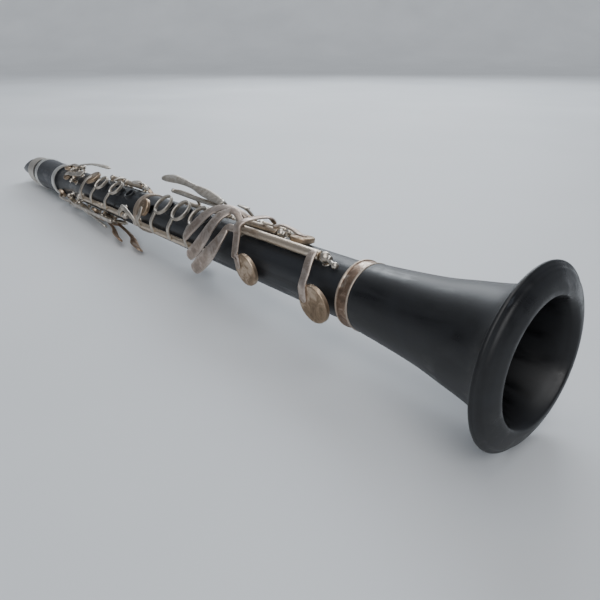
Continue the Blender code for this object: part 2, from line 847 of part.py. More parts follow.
def lower_ring_key():
    """Three finger rings, their stems, a pad cup and the bridge arm on one tube."""
    hinge = "lower_ring_hinge"
    parts = [hinge_tube(hinge)]
    for station in RING_HOLES:
        parts += ring_on_stem(hinge, station, 0, 8.3, 6.8, body_radius(station) + 1.4, LOWER_RINGS_OPEN)
    made, skin = cup_and_pad(hinge, LOWER_PAD_HOLE, 6.6, LOWER_RINGS_OPEN)
    arm = strap([root(hinge, 311, 4), stop(310, 52, 20.6, 4)] + over(LOWER_PAD_HOLE, 6.4, 1))
    stops = [root(hinge, 316, 4), stop(320, 54, 20.4, 4), stop(331, 42, 20.4, 4), stop(340, 38, 20.2, 4)]
    bridge = strap(stops)
    parts += [swung(arm, hinge, LOWER_RINGS_OPEN), made, swung(bridge, hinge, LOWER_RINGS_OPEN)]
    key("lower_ring_key", hinge, parts, skin)


# Keys on the upper joint.


def bridge_key():
    hinge = "upper_ring_hinge"
    station = UPPER_RING_HOLES["bridge"][0]
    parts = [hinge_tube(hinge, 0, 1)]
    parts += ring_on_stem(hinge, station, 0, 7.2, 5.8, body_radius(station) + 1.3, UPPER_RINGS_OPEN)
    stops = [root(hinge, 350, 4), stop(348, 54, 19.0, 4), stop(344, 44, 17.6, 4), stop(337, 40, 17.6, 4)]
    bridge = strap(stops)
    parts.append(swung(bridge, hinge, UPPER_RINGS_OPEN))
    key("bridge_key", hinge, parts)


def index_ring_key():
    hinge = "upper_ring_hinge"
    station = UPPER_RING_HOLES["index"][0]
    parts = [hinge_tube(hinge, 1, 2)]
    parts += ring_on_stem(hinge, station, 0, 7.2, 5.8, body_radius(station) + 1.3, UPPER_RINGS_OPEN)
    place = UPPER_HOLES["index"]
    made, skin = cup_and_pad(hinge, place, 7.6, UPPER_RINGS_OPEN)
    arm = strap([root(hinge, 434, 4.4), stop(432, 44, 20.6, 4.4)] + over(place, 7.4, 1, 4.6))
    parts += [swung(arm, hinge, UPPER_RINGS_OPEN), made]
    key("index_ring_key", hinge, parts, skin)


def c_sharp_key():
    hinge = "upper_left_hinge"
    place = UPPER_HOLES["c_sharp"]
    made = filled_cup(place, 6.4, shell(place[0]))
    arm = strap([root(hinge, 366, 3.6), stop(364, -60, 20.2, 3.6)] + over(place, 6.2, 1, 3.8))
    lever = strap([root(hinge, 357, 3.4), stop(354, -34, 21.6, 3.6), stop(350, -24, 22.8, 5)])
    stops = [stop(353, -22, 22.8, 5, -24), stop(344, -22, 23.2, 6.5, -24), stop(339, -22, 23.4, 4, -24)]
    touch = strap(stops)
    key("c_sharp_key", hinge, [hinge_tube(hinge, 0, 1), arm, made, lever, touch])


def e_flat_key():
    hinge = "upper_left_hinge"
    place = UPPER_HOLES["e_flat"]
    made = filled_cup(place, 4.8, shell(place[0]))
    arm = strap([root(hinge, 403, 3.2), stop(403, -62, 19.8, 3.2)] + over(place, 4.6, 1, 3.4))
    touch = strap([root(hinge, 394, 3.2), stop(391, -30, 20.0, 3.2), stop(388, -14, 19.4, 2.4)], 1.4)
    key("e_flat_key", hinge, [hinge_tube(hinge, 1, 2), arm, made, touch])


def cross_tube(station, angle, radius, half):
    """A hinge tube that lies across the bore."""
    frame = Matrix((outward(angle), ALONG, outward(angle).cross(ALONG))).transposed().to_4x4()
    frame.translation = at(station, angle, radius)
    profile = [(TUBE_RADIUS, half), (TUBE_RADIUS, -half), (TUBE_BORE, -half), (TUBE_BORE, half)]
    return turned(profile, frame, 12)


def cross_hinge(name, station, angle, radius, half):
    """A pin across the bore between two posts."""
    across = around(angle)
    middle = at(station, angle, radius)
    parts = [cylinder(middle - across * (half + 4.4) * MM, middle + across * (half + 3.6) * MM, ROD_RADIUS)]
    for sign in (-1, 1):
        head = middle + across * sign * (half + GAP + PIN_BALL) * MM
        spread = math.degrees(math.atan2(sign * (half + GAP + PIN_BALL), radius))
        foot = at(station, angle + spread, body_radius(station) + GAP)
        parts.append(cylinder(foot, head, POST_RADIUS, POST_RADIUS - 0.2))
        parts.append(ball(head, PIN_BALL))
    piece(name, united(parts), "key_metal")


CROSS_HINGES = {
    "a_hinge": (484, -24, 18.2, 3.2),
    "g_sharp_hinge": (466, 10, 18.2, 3.2),
    "register_hinge": (487, 180, 18.2, 3.2),
    "side_1_hinge": (388, 132, 18.2, 2.6),
    "side_2_hinge": (404, 117, 18.2, 2.6),
    "side_3_hinge": (452, 103, 18.2, 2.6),
    "side_4_hinge": (474, 90, 18.2, 2.6),
}


SIDE_LEVERS = {
    "side_1": ((318, 112, 31.0, 6), (336, 118, 29.0, 8), (352, 126, 25.0, 4.5), (376, 132, 22.0, 3.4)),
    "side_2": ((346, 104, 31.5, 5), (362, 106, 29.0, 6.5), (376, 112, 25.4, 4.0), (392, 117, 22.4, 3.4)),
    "side_3": ((380, 99, 27.2, 5), (396, 100, 25.6, 5.2), (420, 101, 23.6, 3.6), (438, 103, 22.4, 3.6)),
    "side_4": ((360, 81, 24.8, 3.6), (374, 82, 24.6, 4.0), (420, 85, 23.8, 3.6), (460, 90, 22.4, 3.6)),
}


def cross_key(name, place, radius, lever, lift=0.0, with_pad=False):
    """A see-saw key on a pin across the bore: its touch nearer the bell and its cup at the other end."""
    station, angle = place
    base = shell(station) + lift
    hinge_station, hinge_angle, hinge_radius, half = CROSS_HINGES[name + "_hinge"]
    across = cross_tube(hinge_station, hinge_angle, hinge_radius, half)
    head = cup(station, angle, radius, base) if with_pad else filled_cup(place, radius, base)
    stops = [stop(*place) for place in lever]
    stops.append(stop(station - 1, angle, base + CUP_HEIGHT - 0.1, 3.4))
    stops.append(stop(station + 2, angle, base + CUP_HEIGHT - 0.2, 2.6))
    pivot = at(hinge_station, hinge_angle, hinge_radius)
    made = piece(name + "_key", united([across, strap(stops), head]), "key_metal", pivot)
    if with_pad:
        piece(name + "_pad", pad(station, angle, radius, base), "pad_skin", made.location.copy(), made)


def throat_and_register_keys():
    lever = ((414, -34, 25.6, 4.6), (426, -33, 26.2, 8), (440, -31, 26.0, 6.0), (454, -29.5, 25.0, 4.4))
    lever += ((472, -27, 22.8, 4),)
    lever += ((484, -24, 20.6, 4),)
    cross_key("a", UPPER_HOLES["a"], 5.6, lever + ((495, -23, 20.8, 3.6),), with_pad=True)
    lever = ((443, 3, 22.4, 5), (450, 5, 22.4, 7), (458, 8, 21.6, 4), (466, 10, 20.6, 4))
    cross_key("g_sharp", UPPER_HOLES["g_sharp"], 5.2, lever + ((478, 12, 20.7, 3.6),))
    lever = ((452, 168, 19.6, 7), (460, 170, 20.4, 6), (476, 178, 20.8, 4), (487, 180, 20.6, 4))
    cross_key("register", REGISTER_HOLE, 4.6, lever + ((496, 180, 21.4, 3.6),), lift=2.0)


def side_keys():
    """The four keys for the side of the right first finger."""
    for name, lever in SIDE_LEVERS.items():
        place = UPPER_HOLES[name]
        station, angle, _, _ = CROSS_HINGES[name + "_hinge"]
        rise = ((station, angle, 20.6, 3.6), (station + 6, angle, 21.7, 3.2))
        cross_key(name, place, 4.8, lever + rise + ((place[0] - 7, angle, 21.7, 3.2),))


def thumb_key():
    """The ring round the thumb hole."""
    hinge = "thumb_hinge"
    station = THUMB_HOLE[0]
    ring = ring_on_stem(hinge, station, 180, 6.9, 5.6, body_radius(station) + 1.2, UPPER_RINGS_OPEN)
    key("thumb_ring_key", hinge, [hinge_tube(hinge)] + ring)


def main():
    clear_scene()
    bpy.context.scene.collection.children.link(CLARINET)
    bell()
    lower_joint()
    upper_joint()
    barrel()
    corks()
    mouthpiece()
    ligature()
    thumb_rest()
    for name in HINGES:
        hinge_frame(name)
    low_e_key()
    low_f_key()
    a_flat_key()
    f_sharp_key()
    levers()
    lower_ring_key()
    bridge_key()
    index_ring_key()
    c_sharp_key()
    e_flat_key()
    for name, place in CROSS_HINGES.items():
        cross_hinge(name, *place)
    throat_and_register_keys()
    side_keys()
    thumb_key()


main()
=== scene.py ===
"""A black B flat clarinet with tarnished nickel-silver keys, lying on a pale table.

Places on the instrument are given as in the CAD: a station in mm from the bell's front along the bore, an angle in
degrees round the bore from the front line towards the player's right hand, and a radius in mm from the bore's axis.
"""

import json
import math

import bmesh
import bpy
from mathutils import Matrix, Vector


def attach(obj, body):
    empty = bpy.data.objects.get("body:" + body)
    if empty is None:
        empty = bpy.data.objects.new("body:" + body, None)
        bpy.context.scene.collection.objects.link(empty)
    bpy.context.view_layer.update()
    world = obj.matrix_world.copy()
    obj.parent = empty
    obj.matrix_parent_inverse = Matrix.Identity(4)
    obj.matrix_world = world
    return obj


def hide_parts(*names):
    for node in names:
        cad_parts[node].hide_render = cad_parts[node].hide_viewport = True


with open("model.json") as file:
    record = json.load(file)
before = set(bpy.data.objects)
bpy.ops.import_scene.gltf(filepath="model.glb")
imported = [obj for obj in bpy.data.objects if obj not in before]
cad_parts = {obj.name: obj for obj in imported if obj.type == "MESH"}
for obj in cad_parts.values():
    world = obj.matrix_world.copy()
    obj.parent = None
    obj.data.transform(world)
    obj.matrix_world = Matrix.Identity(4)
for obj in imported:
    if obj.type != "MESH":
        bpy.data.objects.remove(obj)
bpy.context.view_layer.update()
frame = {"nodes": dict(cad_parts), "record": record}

MM = 0.001
LENGTH = 664.0
# How far the front line is turned about the bore from straight up, in degrees.
ROLL = 28.0
ALONG = Vector((-1.0, 0.0, 0.0))
FIXED = "clarinet_body"


# Places.


def outward(angle):
    """The direction away from the bore."""
    turn = math.radians(angle + ROLL)
    return Vector((0.0, -math.sin(turn), math.cos(turn)))


def around(angle):
    """The direction round the bore, towards greater angles."""
    turn = math.radians(angle + ROLL)
    return Vector((0.0, -math.cos(turn), -math.sin(turn)))


def at(station, angle, radius):
    """A place on the instrument, in metres."""
    return ALONG * (station - LENGTH / 2) * MM + outward(angle) * radius * MM


def facing(station, angle, radius):
    """A frame at a place, with z outward."""
    rows = Matrix((ALONG, outward(angle).cross(ALONG), outward(angle))).transposed()
    return Matrix.Translation(at(station, angle, radius)) @ rows.to_4x4()


def bore_frame():
    """A frame at the bell's front, with z along the bore."""
    rows = Matrix((outward(0), ALONG.cross(outward(0)), ALONG)).transposed()
    return Matrix.Translation(at(0, 0, 0)) @ rows.to_4x4()


# Shapes. Each maker returns a closed mesh in the CAD's frame, in metres.


def evaluated(thing):
    """A helper's mesh with its modifiers applied. The helper is removed."""
    graph = bpy.context.evaluated_depsgraph_get()
    mesh = bpy.data.meshes.new_from_object(thing.evaluated_get(graph))
    bpy.data.objects.remove(thing, do_unlink=True)
    return mesh


def helper(mesh):
    thing = bpy.data.objects.new("helper", mesh)
    bpy.context.scene.collection.objects.link(thing)
    return thing


def tidy(mesh):
    """Merges doubled points and turns the faces outward."""
    shape = bmesh.new()
    shape.from_mesh(mesh)
    bmesh.ops.remove_doubles(shape, verts=shape.verts, dist=1e-7)
    bmesh.ops.recalc_face_normals(shape, faces=shape.faces)
    if shape.calc_volume(signed=True) < 0:
        bmesh.ops.reverse_faces(shape, faces=shape.faces)
    shape.to_mesh(mesh)
    shape.free()
    return mesh


def curved(points, per=6):
    """A Catmull-Rom curve through rows of numbers."""
    rows = [Vector(p) for p in points]
    rows = [rows[0] * 2 - rows[1]] + rows + [rows[-1] * 2 - rows[-2]]
    out = []
    for a, b, c, d in zip(rows, rows[1:], rows[2:], rows[3:]):
        for k in range(per):
            t = k / per
            out.append(
                (b * 2 + (c - a) * t + (a * 2 - b * 5 + c * 4 - d) * t * t + (b * 3 - a - c * 3 + d) * t**3) / 2
            )
    out.append(rows[-2])
    return out


def turned(profile, place, steps=48):
    """A turned solid from (radius, height) points in mm."""
    mesh = bpy.data.meshes.new("profile")
    points = [(max(p[0], 0.0) * MM, 0.0, p[1] * MM) for p in profile]
    edges = [(i, i + 1) for i in range(len(points) - 1)]
    if points[0][0] > 0 or points[-1][0] > 0:
        edges.append((len(points) - 1, 0))
    mesh.from_pydata(points, edges, [])
    thing = helper(mesh)
    screw = thing.modifiers.new("turn", "SCREW")
    screw.axis = "Z"
    screw.steps = steps
    screw.render_steps = steps
    screw.use_merge_vertices = True
    screw.merge_threshold = 1e-6
    mesh = tidy(evaluated(thing))
    mesh.transform(place)
    return mesh


def bar(start, end, radius, sides=24):
    shape = bmesh.new()
    run = end - start
    place = Matrix.Translation((start + end) / 2) @ run.to_track_quat("Z", "Y").to_matrix().to_4x4()
    wide = radius * MM
    bmesh.ops.create_cone(
        shape, cap_ends=True, segments=sides, radius1=wide, radius2=wide, depth=run.length, matrix=place
    )
    mesh = bpy.data.meshes.new("bar")
    shape.to_mesh(mesh)
    shape.free()
    return mesh


def ball(centre, radius):
    place = Matrix.Translation(centre) @ Matrix.Rotation(math.radians(90), 4, "Y")
    meridian = [(0, -radius)] + arc((0, 0), radius, -90, 90, 15)[1:-1] + [(0, radius)]
    return turned(meridian, place, 24)


RIBBON_SIDES = 12
RIBBON_STEP = 0.9 * MM
CLOSEST_RINGS = 0.12 * MM
THINNEST = 0.2 * MM
EDGE_ROUNDNESS = 0.55
FACE_FLATNESS = 0.7


def ribbon(stops, thickness=1.6):
    """A smooth flat bar with rounded edges and ends, through stops of (point, up, width in mm)."""
    rows = curved([(*point, *up, width * MM) for point, up, width in stops], 8)
    places = [Vector(row[:3]) for row in rows]
    lengths = [0.0]
    for near, far in zip(places, places[1:]):
        lengths.append(lengths[-1] + (far - near).length)
    whole = lengths[-1]
    wide_start, wide_end = stops[0][2] * MM / 2, stops[-1][2] * MM / 2
    steps = max(8, int(whole / RIBBON_STEP))
    marks = {round(whole * k / steps, 7) for k in range(steps + 1)}
    for k in range(5):
        reach = 1 - math.cos(math.pi / 2 * k / 4)
        marks |= {round(wide_start * reach, 7), round(whole - wide_end * reach, 7)}
    shape = bmesh.new()
    rings = []
    j = 0
    last = -1.0
    for mark in sorted(marks):
        if mark - last < CLOSEST_RINGS:
            continue
        last = mark
        while j < len(lengths) - 2 and lengths[j + 1] < mark:
            j += 1
        t = (mark - lengths[j]) / max(lengths[j + 1] - lengths[j], 1e-9)
        row = rows[j].lerp(rows[j + 1], min(max(t, 0.0), 1.0))
        run = (places[min(j + 2, len(places) - 1)] - places[max(j - 1, 0)]).normalized()
        side = run.cross(Vector(row[3:6])).normalized()
        lift = side.cross(run).normalized()
        ends = min(mark / wide_start, (whole - mark) / wide_end, 1.0)
        narrowing = math.sqrt(max(1 - (1 - ends) ** 2, 0.0))
        across = max(row[6] / 2 * narrowing, THINNEST)
        deep = thickness * MM / 2 * (0.55 + 0.45 * narrowing)
        ring = []
        for k in range(RIBBON_SIDES):
            turn = 2 * math.pi * (k + 0.5) / RIBBON_SIDES
            x, z = math.cos(turn), math.sin(turn)
            x = math.copysign(abs(x) ** EDGE_ROUNDNESS, x) * across
            z = math.copysign(abs(z) ** FACE_FLATNESS, z) * deep
            ring.append(shape.verts.new(Vector(row[:3]) + side * x + lift * z))
        rings.append(ring)
    for near, far in zip(rings, rings[1:]):
        for k in range(RIBBON_SIDES):
            after = (k + 1) % RIBBON_SIDES
            shape.faces.new((near[k], near[after], far[after], far[k]))
    shape.faces.new(rings[0])
    shape.faces.new(reversed(rings[-1]))
    mesh = bpy.data.meshes.new("ribbon")
    shape.to_mesh(mesh)
    shape.free()
    return tidy(mesh)


def joined(meshes):
    shape = bmesh.new()
    for mesh in meshes:
        shape.from_mesh(mesh)
    whole = bpy.data.meshes.new("joined")
    shape.to_mesh(whole)
    shape.free()
    return whole


def combined(mesh, other, operation):
    """An exact boolean of two meshes."""
    thing = helper(mesh)
    tool = helper(other)
    boolean = thing.modifiers.new("boolean", "BOOLEAN")
    boolean.operation = operation
    boolean.solver = "EXACT"
    boolean.object = tool
    done = evaluated(thing)
    bpy.data.objects.remove(tool, do_unlink=True)
    return done


def united(meshes):
    """Overlapping solids made one."""
    whole = meshes[0]
    for mesh in meshes[1:]:
        whole = combined(whole, mesh, "UNION")
    return whole


SHARP_FROM = math.radians(38)


def show(name, mesh, body, look, nodes):
    """Adds a piece that rides on a body and stands for CAD nodes."""
    mesh.materials.clear()
    mesh.materials.append(look)
    mesh.shade_smooth()
    mesh.set_sharp_from_angle(angle=SHARP_FROM)
    thing = bpy.data.objects.new(name, mesh)
    bpy.context.scene.collection.objects.link(thing)
    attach(thing, body)
    if nodes:
        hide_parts(*nodes)
    return thing


# Looks.


class Look:
    """A node material on one Principled shader, with object coordinates in metres."""

    def __init__(self, name):
        self.material = bpy.data.materials.new(name)
        self.material.use_nodes = True
        self.nodes = self.material.node_tree.nodes
        self.links = self.material.node_tree.links
        self.shader = self.nodes["Principled BSDF"]
        self.coordinates = self.nodes.new("ShaderNodeTexCoord").outputs["Object"]

    def put(self, socket, value):
        if isinstance(value, bpy.types.NodeSocket):
            self.links.new(value, socket)
        else:
            socket.default_value = value

    def stretched(self, scale):
        node = self.nodes.new("ShaderNodeMapping")
        node.inputs["Scale"].default_value = scale
        self.links.new(self.coordinates, node.inputs["Vector"])
        return node.outputs["Vector"]

    def noise(self, scale, detail=4.0, rough=0.6, twist=0.0, vector=None):
        node = self.nodes.new("ShaderNodeTexNoise")
        self.links.new(vector or self.coordinates, node.inputs["Vector"])
        node.inputs["Scale"].default_value = scale
        node.inputs["Detail"].default_value = detail
        node.inputs["Roughness"].default_value = rough
        node.inputs["Distortion"].default_value = twist
        return node.outputs["Fac"]

    def cells(self, scale):
        node = self.nodes.new("ShaderNodeTexVoronoi")
        self.links.new(self.coordinates, node.inputs["Vector"])
        node.inputs["Scale"].default_value = scale
        return node.outputs["Distance"]

    def ramp(self, value, *stops):
        node = self.nodes.new("ShaderNodeValToRGB")
        self.links.new(value, node.inputs["Fac"])
        line = node.color_ramp
        while len(line.elements) < len(stops):
            line.elements.new(0.5)
        for element, (place, colour) in zip(line.elements, stops):
            element.position = place
            grey = isinstance(colour, (int, float))
            element.color = (colour, colour, colour, 1.0) if grey else (*colour, 1.0)
        return node.outputs["Color"]

    def mix(self, amount, first, second):
        node = self.nodes.new("ShaderNodeMix")
        node.data_type = "RGBA"
        for name, value in (("Factor", amount), ("A", first), ("B", second)):
            sockets = [s for s in node.inputs if s.name == name and (s.type == "RGBA") == (name != "Factor")]
            if isinstance(value, tuple):
                value = (*value, 1.0)
            self.put(sockets[0], value)
        return [s for s in node.outputs if s.type == "RGBA"][0]

    def maths(self, operation, first, second):
        node = self.nodes.new("ShaderNodeMath")
        node.operation = operation
        self.put(node.inputs[0], first)
        self.put(node.inputs[1], second)
        return node.outputs[0]

    def edges(self, low, high):
        """Bright on convex edges and dark in creases."""
        node = self.nodes.new("ShaderNodeNewGeometry")
        return self.ramp(node.outputs["Pointiness"], (low, 0.0), (high, 1.0))

    def bump(self, height, strength, distance):
        node = self.nodes.new("ShaderNodeBump")
        self.links.new(height, node.inputs["Height"])
        node.inputs["Strength"].default_value = strength
        node.inputs["Distance"].default_value = distance
        self.links.new(node.outputs["Normal"], self.shader.inputs["Normal"])

    def finish(self, colour, roughness, metallic=0.0, **more):
        self.put(self.shader.inputs["Base Color"], colour)
        self.put(self.shader.inputs["Roughness"], roughness)
        self.shader.inputs["Metallic"].default_value = metallic
        for name, value in more.items():
            self.shader.inputs[name.replace("_", " ")].default_value = value
        return self.material


def dark_wood(name, light=0.010, gloss=0.27, smear_and_sheen_tint=(0.014, 0.016, 0.021)):
    """Black, oiled and handled wood: fine grain along the bore, faint smears and dust, and paler rubbed edges. Each
    wood is given its own tint for the smears. The barrel's blue-grey tint is partly dust and partly a painted sheen.
    """
    look = Look(name)
    grain = look.noise(160, 6, 0.65, 0.4, look.stretched((0.08, 1.0, 1.0)))
    smear = look.noise(38, 5, 0.55, 0.8)
    dust = look.noise(900, 3, 0.7)
    black = look.ramp(grain, (0.30, (0.0025, 0.0025, 0.003)), (0.75, (light * 0.8, light * 0.84, light)))
    # Smear patches take the tint: real smears, and on the barrel also a painted blue-grey sheen.
    smeared_and_sheen = look.mix(look.ramp(smear, (0.50, 0.0), (0.82, 0.45)), black, smear_and_sheen_tint)
    speck = look.ramp(dust, (0.68, 0.0), (0.80, 0.20))
    colour = look.mix(speck, smeared_and_sheen, (0.06, 0.06, 0.065))
    colour = look.mix(look.maths("MULTIPLY", look.edges(0.53, 0.60), 0.5), colour, (0.045, 0.050, 0.058))
    rough = look.ramp(look.maths("ADD", smear, grain), (0.75, gloss - 0.05), (1.30, gloss + 0.20))
    look.bump(look.maths("ADD", grain, look.maths("MULTIPLY", dust, 0.3)), 0.10, 0.0002)
    return look.finish(colour, rough, 0.0, Specular_IOR_Level=0.42, Coat_Weight=0.08, Coat_Roughness=0.25)


def tarnished(name, bright, brown, dark, gloss=0.28, amount=0.5, green=0.0):
    """Nickel silver that has gone grey and brown, still bright where fingers and cloths rub it."""
    look = Look(name)
    patches = look.noise(170, 6, 0.62, 0.7)
    spots = look.noise(720, 4, 0.7, 0.2)
    broad = look.noise(45, 3, 0.5)
    fine = look.noise(2600, 3, 0.7, 0.0, look.stretched((0.25, 1.0, 1.0)))
    both = look.maths("ADD", look.maths("MULTIPLY", patches, 0.65), look.maths("MULTIPLY", broad, 0.35))
    tone = look.ramp(both, (0.52 - amount * 0.34, bright), (0.50, brown), (0.70, dark))
    rubbed = look.edges(0.50, 0.56)
    tone = look.mix(look.maths("MULTIPLY", rubbed, 0.75), tone, bright)
    pits = look.ramp(spots, (0.60, 0.0), (0.72, 0.65))
    tone = look.mix(pits, tone, dark)
    if green:
        crease = look.ramp(look.noise(310, 4, 0.6), (0.60, 0.0), (0.74, green))
        tone = look.mix(crease, tone, (0.20, 0.26, 0.15))
    rough = look.ramp(look.maths("ADD", both, look.maths("MULTIPLY", spots, 0.5)), (0.55, gloss), (0.95, gloss + 0.34))
    look.bump(look.maths("ADD", spots, look.maths("MULTIPLY", fine, 0.5)), 0.16, 0.00012)
    return look.finish(tone, rough, 1.0)


def skin():
    look = Look("pad_skin")
    blotch = look.noise(260, 5, 0.6)
    wrinkle = look.noise(1500, 4, 0.7, 1.2)
    colour = look.ramp(blotch, (0.35, (0.55, 0.44, 0.28)), (0.62, (0.74, 0.65, 0.49)), (0.78, (0.40, 0.28, 0.16)))
    look.bump(wrinkle, 0.35, 0.0001)
    return look.finish(colour, look.ramp(blotch, (0.3, 0.55), (0.7, 0.75)), 0.0, Sheen_Weight=0.15)


def cork_bark():
    look = Look("cork")
    grit = look.cells(900)
    tone = look.noise(300, 5, 0.7)
    colour = look.ramp(tone, (0.35, (0.36, 0.22, 0.12)), (0.65, (0.60, 0.42, 0.25)))
    pores = look.ramp(grit, (0.05, 1.0), (0.25, 0.0))
    colour = look.mix(pores, colour, (0.16, 0.09, 0.05))
    look.bump(grit, 0.5, 0.0002)
    return look.finish(colour, look.ramp(tone, (0.3, 0.75), (0.7, 0.92)))


def cane_reed():
    look = Look("cane")
    fibre = look.noise(900, 5, 0.7, 0.0, look.stretched((0.03, 1.0, 1.0)))
    stain = look.noise(60, 3, 0.5)
    colour = look.ramp(fibre, (0.35, (0.58, 0.42, 0.18)), (0.65, (0.84, 0.70, 0.42)))
    colour = look.mix(look.ramp(stain, (0.5, 0.0), (0.75, 0.35)), colour, (0.42, 0.27, 0.12))
    look.bump(fibre, 0.25, 0.0001)
    return look.finish(colour, look.ramp(stain, (0.3, 0.45), (0.7, 0.65)))


def pale_table():
    look = Look("table_top")
    cloud = look.noise(3.0, 3, 0.5)
    fine = look.noise(900, 2, 0.5)
    colour = look.ramp(cloud, (0.3, (0.60, 0.62, 0.64)), (0.7, (0.66, 0.68, 0.70)))
    look.bump(fine, 0.05, 0.0001)
    return look.finish(colour, look.ramp(cloud, (0.3, 0.50), (0.7, 0.60)))


SILVER = (0.62, 0.58, 0.52)
SOOT = (0.07, 0.055, 0.045)
LOOKS = {
    "wood": dark_wood("dark_wood"),
    "rubber": dark_wood("hard_rubber", 0.008, 0.18),
    "key": tarnished("key_metal", SILVER, (0.34, 0.29, 0.23), SOOT, 0.24, 0.42, 0.35),
    "touch": tarnished("touch_metal", (0.56, 0.48, 0.42), (0.33, 0.26, 0.215), (0.12, 0.095, 0.075), 0.28, 0.34, 0.25),
    "post": tarnished("post_metal", (0.74, 0.70, 0.63), (0.34, 0.27, 0.20), SOOT, 0.18, 0.5, 0.2),
    "rod": tarnished("rod_metal", (0.66, 0.57, 0.46), (0.36, 0.25, 0.16), (0.11, 0.07, 0.045), 0.24, 0.36, 0.1),
    "ring": tarnished("ring_metal", (0.56, 0.48, 0.40), (0.26, 0.18, 0.13), SOOT, 0.32, 0.34),
    "cup": tarnished("cup_metal", (0.50, 0.39, 0.29), (0.28, 0.20, 0.13), (0.12, 0.09, 0.06), 0.27, 0.32, 0.15),
    "rusty": tarnished("stained_metal", (0.42, 0.31, 0.22), (0.28, 0.16, 0.09), (0.10, 0.06, 0.04), 0.38, 0.3, 0.1),
    # The barrel's paler grain and blue-grey smear tint stand partly for dust and partly for a painted sheen.
    "barrel": dark_wood("barrel_wood", 0.060, 0.38, (0.11, 0.12, 0.14)),
    "barrel_ring": tarnished("barrel_ring_metal", (0.80, 0.80, 0.78), (0.52, 0.49, 0.44), (0.2, 0.18, 0.16), 0.20, 0.7),
    "screw": tarnished("screw_steel", (0.60, 0.60, 0.60), (0.35, 0.33, 0.31), (0.12, 0.10, 0.09), 0.25, 0.5),
    "skin": skin(),
    "cork": cork_bark(),
    "cane": cane_reed(),
}
SLOT_LOOKS = {
    "black_wood": "wood",
    "black_rubber": "rubber",
    "key_metal": "key",
    "ring_metal": "ring",
    "pad_skin": "skin",
    "cork": "cork",
    "cane": "cane",
    "screw_steel": "screw",
}
for row in frame["record"]["subparts"]:
    node = frame["nodes"][row["node"]]
    node.data.materials.clear()
    node.data.materials.append(LOOKS[SLOT_LOOKS[row["material_slot"]]])

# The keywork's places, as in the CAD.
LOWER_RADIUS = 18.3
UPPER_RADIUS = 17.4
# Hinges along the bore: angle, radius and the posts' stations.
HINGES = {
    "low_e_hinge": (-2, LOWER_RADIUS + 0.7, (113.5, 190)),
    "a_flat_hinge": (-28, LOWER_RADIUS, (160, 202)),
    "low_f_hinge": (-60, LOWER_RADIUS, (165, 193)),
    "f_sharp_hinge": (-106, LOWER_RADIUS, (192, 227)),
    "lever_hinge": (-84, LOWER_RADIUS, (234, 266, 300)),
    "lower_ring_hinge": (70, LOWER_RADIUS - 0.3, (220, 322)),
    "upper_ring_hinge": (66, UPPER_RADIUS, (343, 392, 447)),
    "upper_left_hinge": (-46, UPPER_RADIUS, (349, 386, 416)),
    "thumb_hinge": (222, UPPER_RADIUS, (428, 470)),
}
CROSS_RADIUS = 18.2
# Hinges across the bore: station, angle, radius and half the tube's length.
CROSS_HINGES = {
    "a_hinge": (484, -24, CROSS_RADIUS, 3.2),
    "g_sharp_hinge": (466, 10, CROSS_RADIUS, 3.2),
    "register_hinge": (487, 180, CROSS_RADIUS, 3.2),
    "side_1_hinge": (388, 132, CROSS_RADIUS, 2.6),
    "side_2_hinge": (404, 117, CROSS_RADIUS, 2.6),
    "side_3_hinge": (452, 103, CROSS_RADIUS, 2.6),
    "side_4_hinge": (474, 90, CROSS_RADIUS, 2.6),
}
# Tone holes: the three under the lower rings by station, the others by station and angle.
RING_HOLES = (282, 256, 232)
LOW_HOLES = {"low_e": (109.2, 77.5), "low_f": (170.3, 75), "a_flat": (145, -38), "f_sharp": (209, -68)}
LOWER_PAD_HOLE = (307, 22)
UPPER_RING_HOLES = {"bridge": (372, 0), "index": (404, 0)}
UPPER_HOLES = {
    "bridge": (387, -20),
    "index": (429, -8),
    "c_sharp": (362, -92),
    "e_flat": (404, -86),
    "a": (508, -22),
    "g_sharp": (490, 14),
    "side_1": (412, 132),
    "side_2": (432, 117),
    "side_3": (488, 103),
    "side_4": (508, 90),
}
LEFT_HAND_HOLE = (352, 0)
THUMB_HOLE = (441, 180)
REGISTER_HOLE = (506, 180)
# Stations where the body's parts meet, and the two joints' radii at their ends.
BELL_TOP = 97.0
JOINT_MIDDLE = 332.0
JOINT_BARREL = 524.0
LOWER_FOOT, LOWER_TOP = 15.7, 14.6
UPPER_FOOT, UPPER_TOP = 14.5, 14.1
# Radii of the bore, the tenons with the beds of their corks, and the sockets.
BORE = 7.4
TENON = 11.6
CORK_BED = 10.7
SOCKET = 12.25
# Keywork sizes: cups and the pads' clearance, rings, hinge tubes and posts.
CUP_HEIGHT = 2.9
CUP_WALL = 0.8
PAD_CLEARANCE = 1.15
RING_HEIGHT = 2.6
TUBE = 2.1
STOUT_TUBE = 2.6
TUBE_BORE = 1.35
TUBE_GROOVE = 0.14
TUBE_CORNER = 0.12
END_GAP = 0.35
ROD = 1.0
POST_NECK = 1.55
POST_BALL = 2.6
STOUT_BALL = 3.15
SMALL_NECK = 1.2
SMALL_BALL = 1.9
ARM_RISE = 2.35
# How far each key that rests open is swung from its closed place, in degrees.
LOW_E_OPEN = 8
LOW_F_OPEN = 5
F_SHARP_OPEN = 5
LOWER_RINGS_OPEN = -12
UPPER_RINGS_OPEN = -7


def body_radius(station):
    """The radius of the lower or the upper joint, which both taper upwards."""
    if station < JOINT_MIDDLE:
        return LOWER_FOOT - (LOWER_FOOT - LOWER_TOP) * (station - BELL_TOP) / (JOINT_MIDDLE - BELL_TOP)
    return UPPER_FOOT - (UPPER_FOOT - UPPER_TOP) * (station - JOINT_MIDDLE) / (JOINT_BARREL - JOINT_MIDDLE)


def shell(station):
    """The radius where a closed cup's rim lies."""
    return body_radius(station) + PAD_CLEARANCE


def stout(hinge):
    """Whether a hinge has the thicker tube and the larger front ball."""
    return hinge == "low_e_hinge"


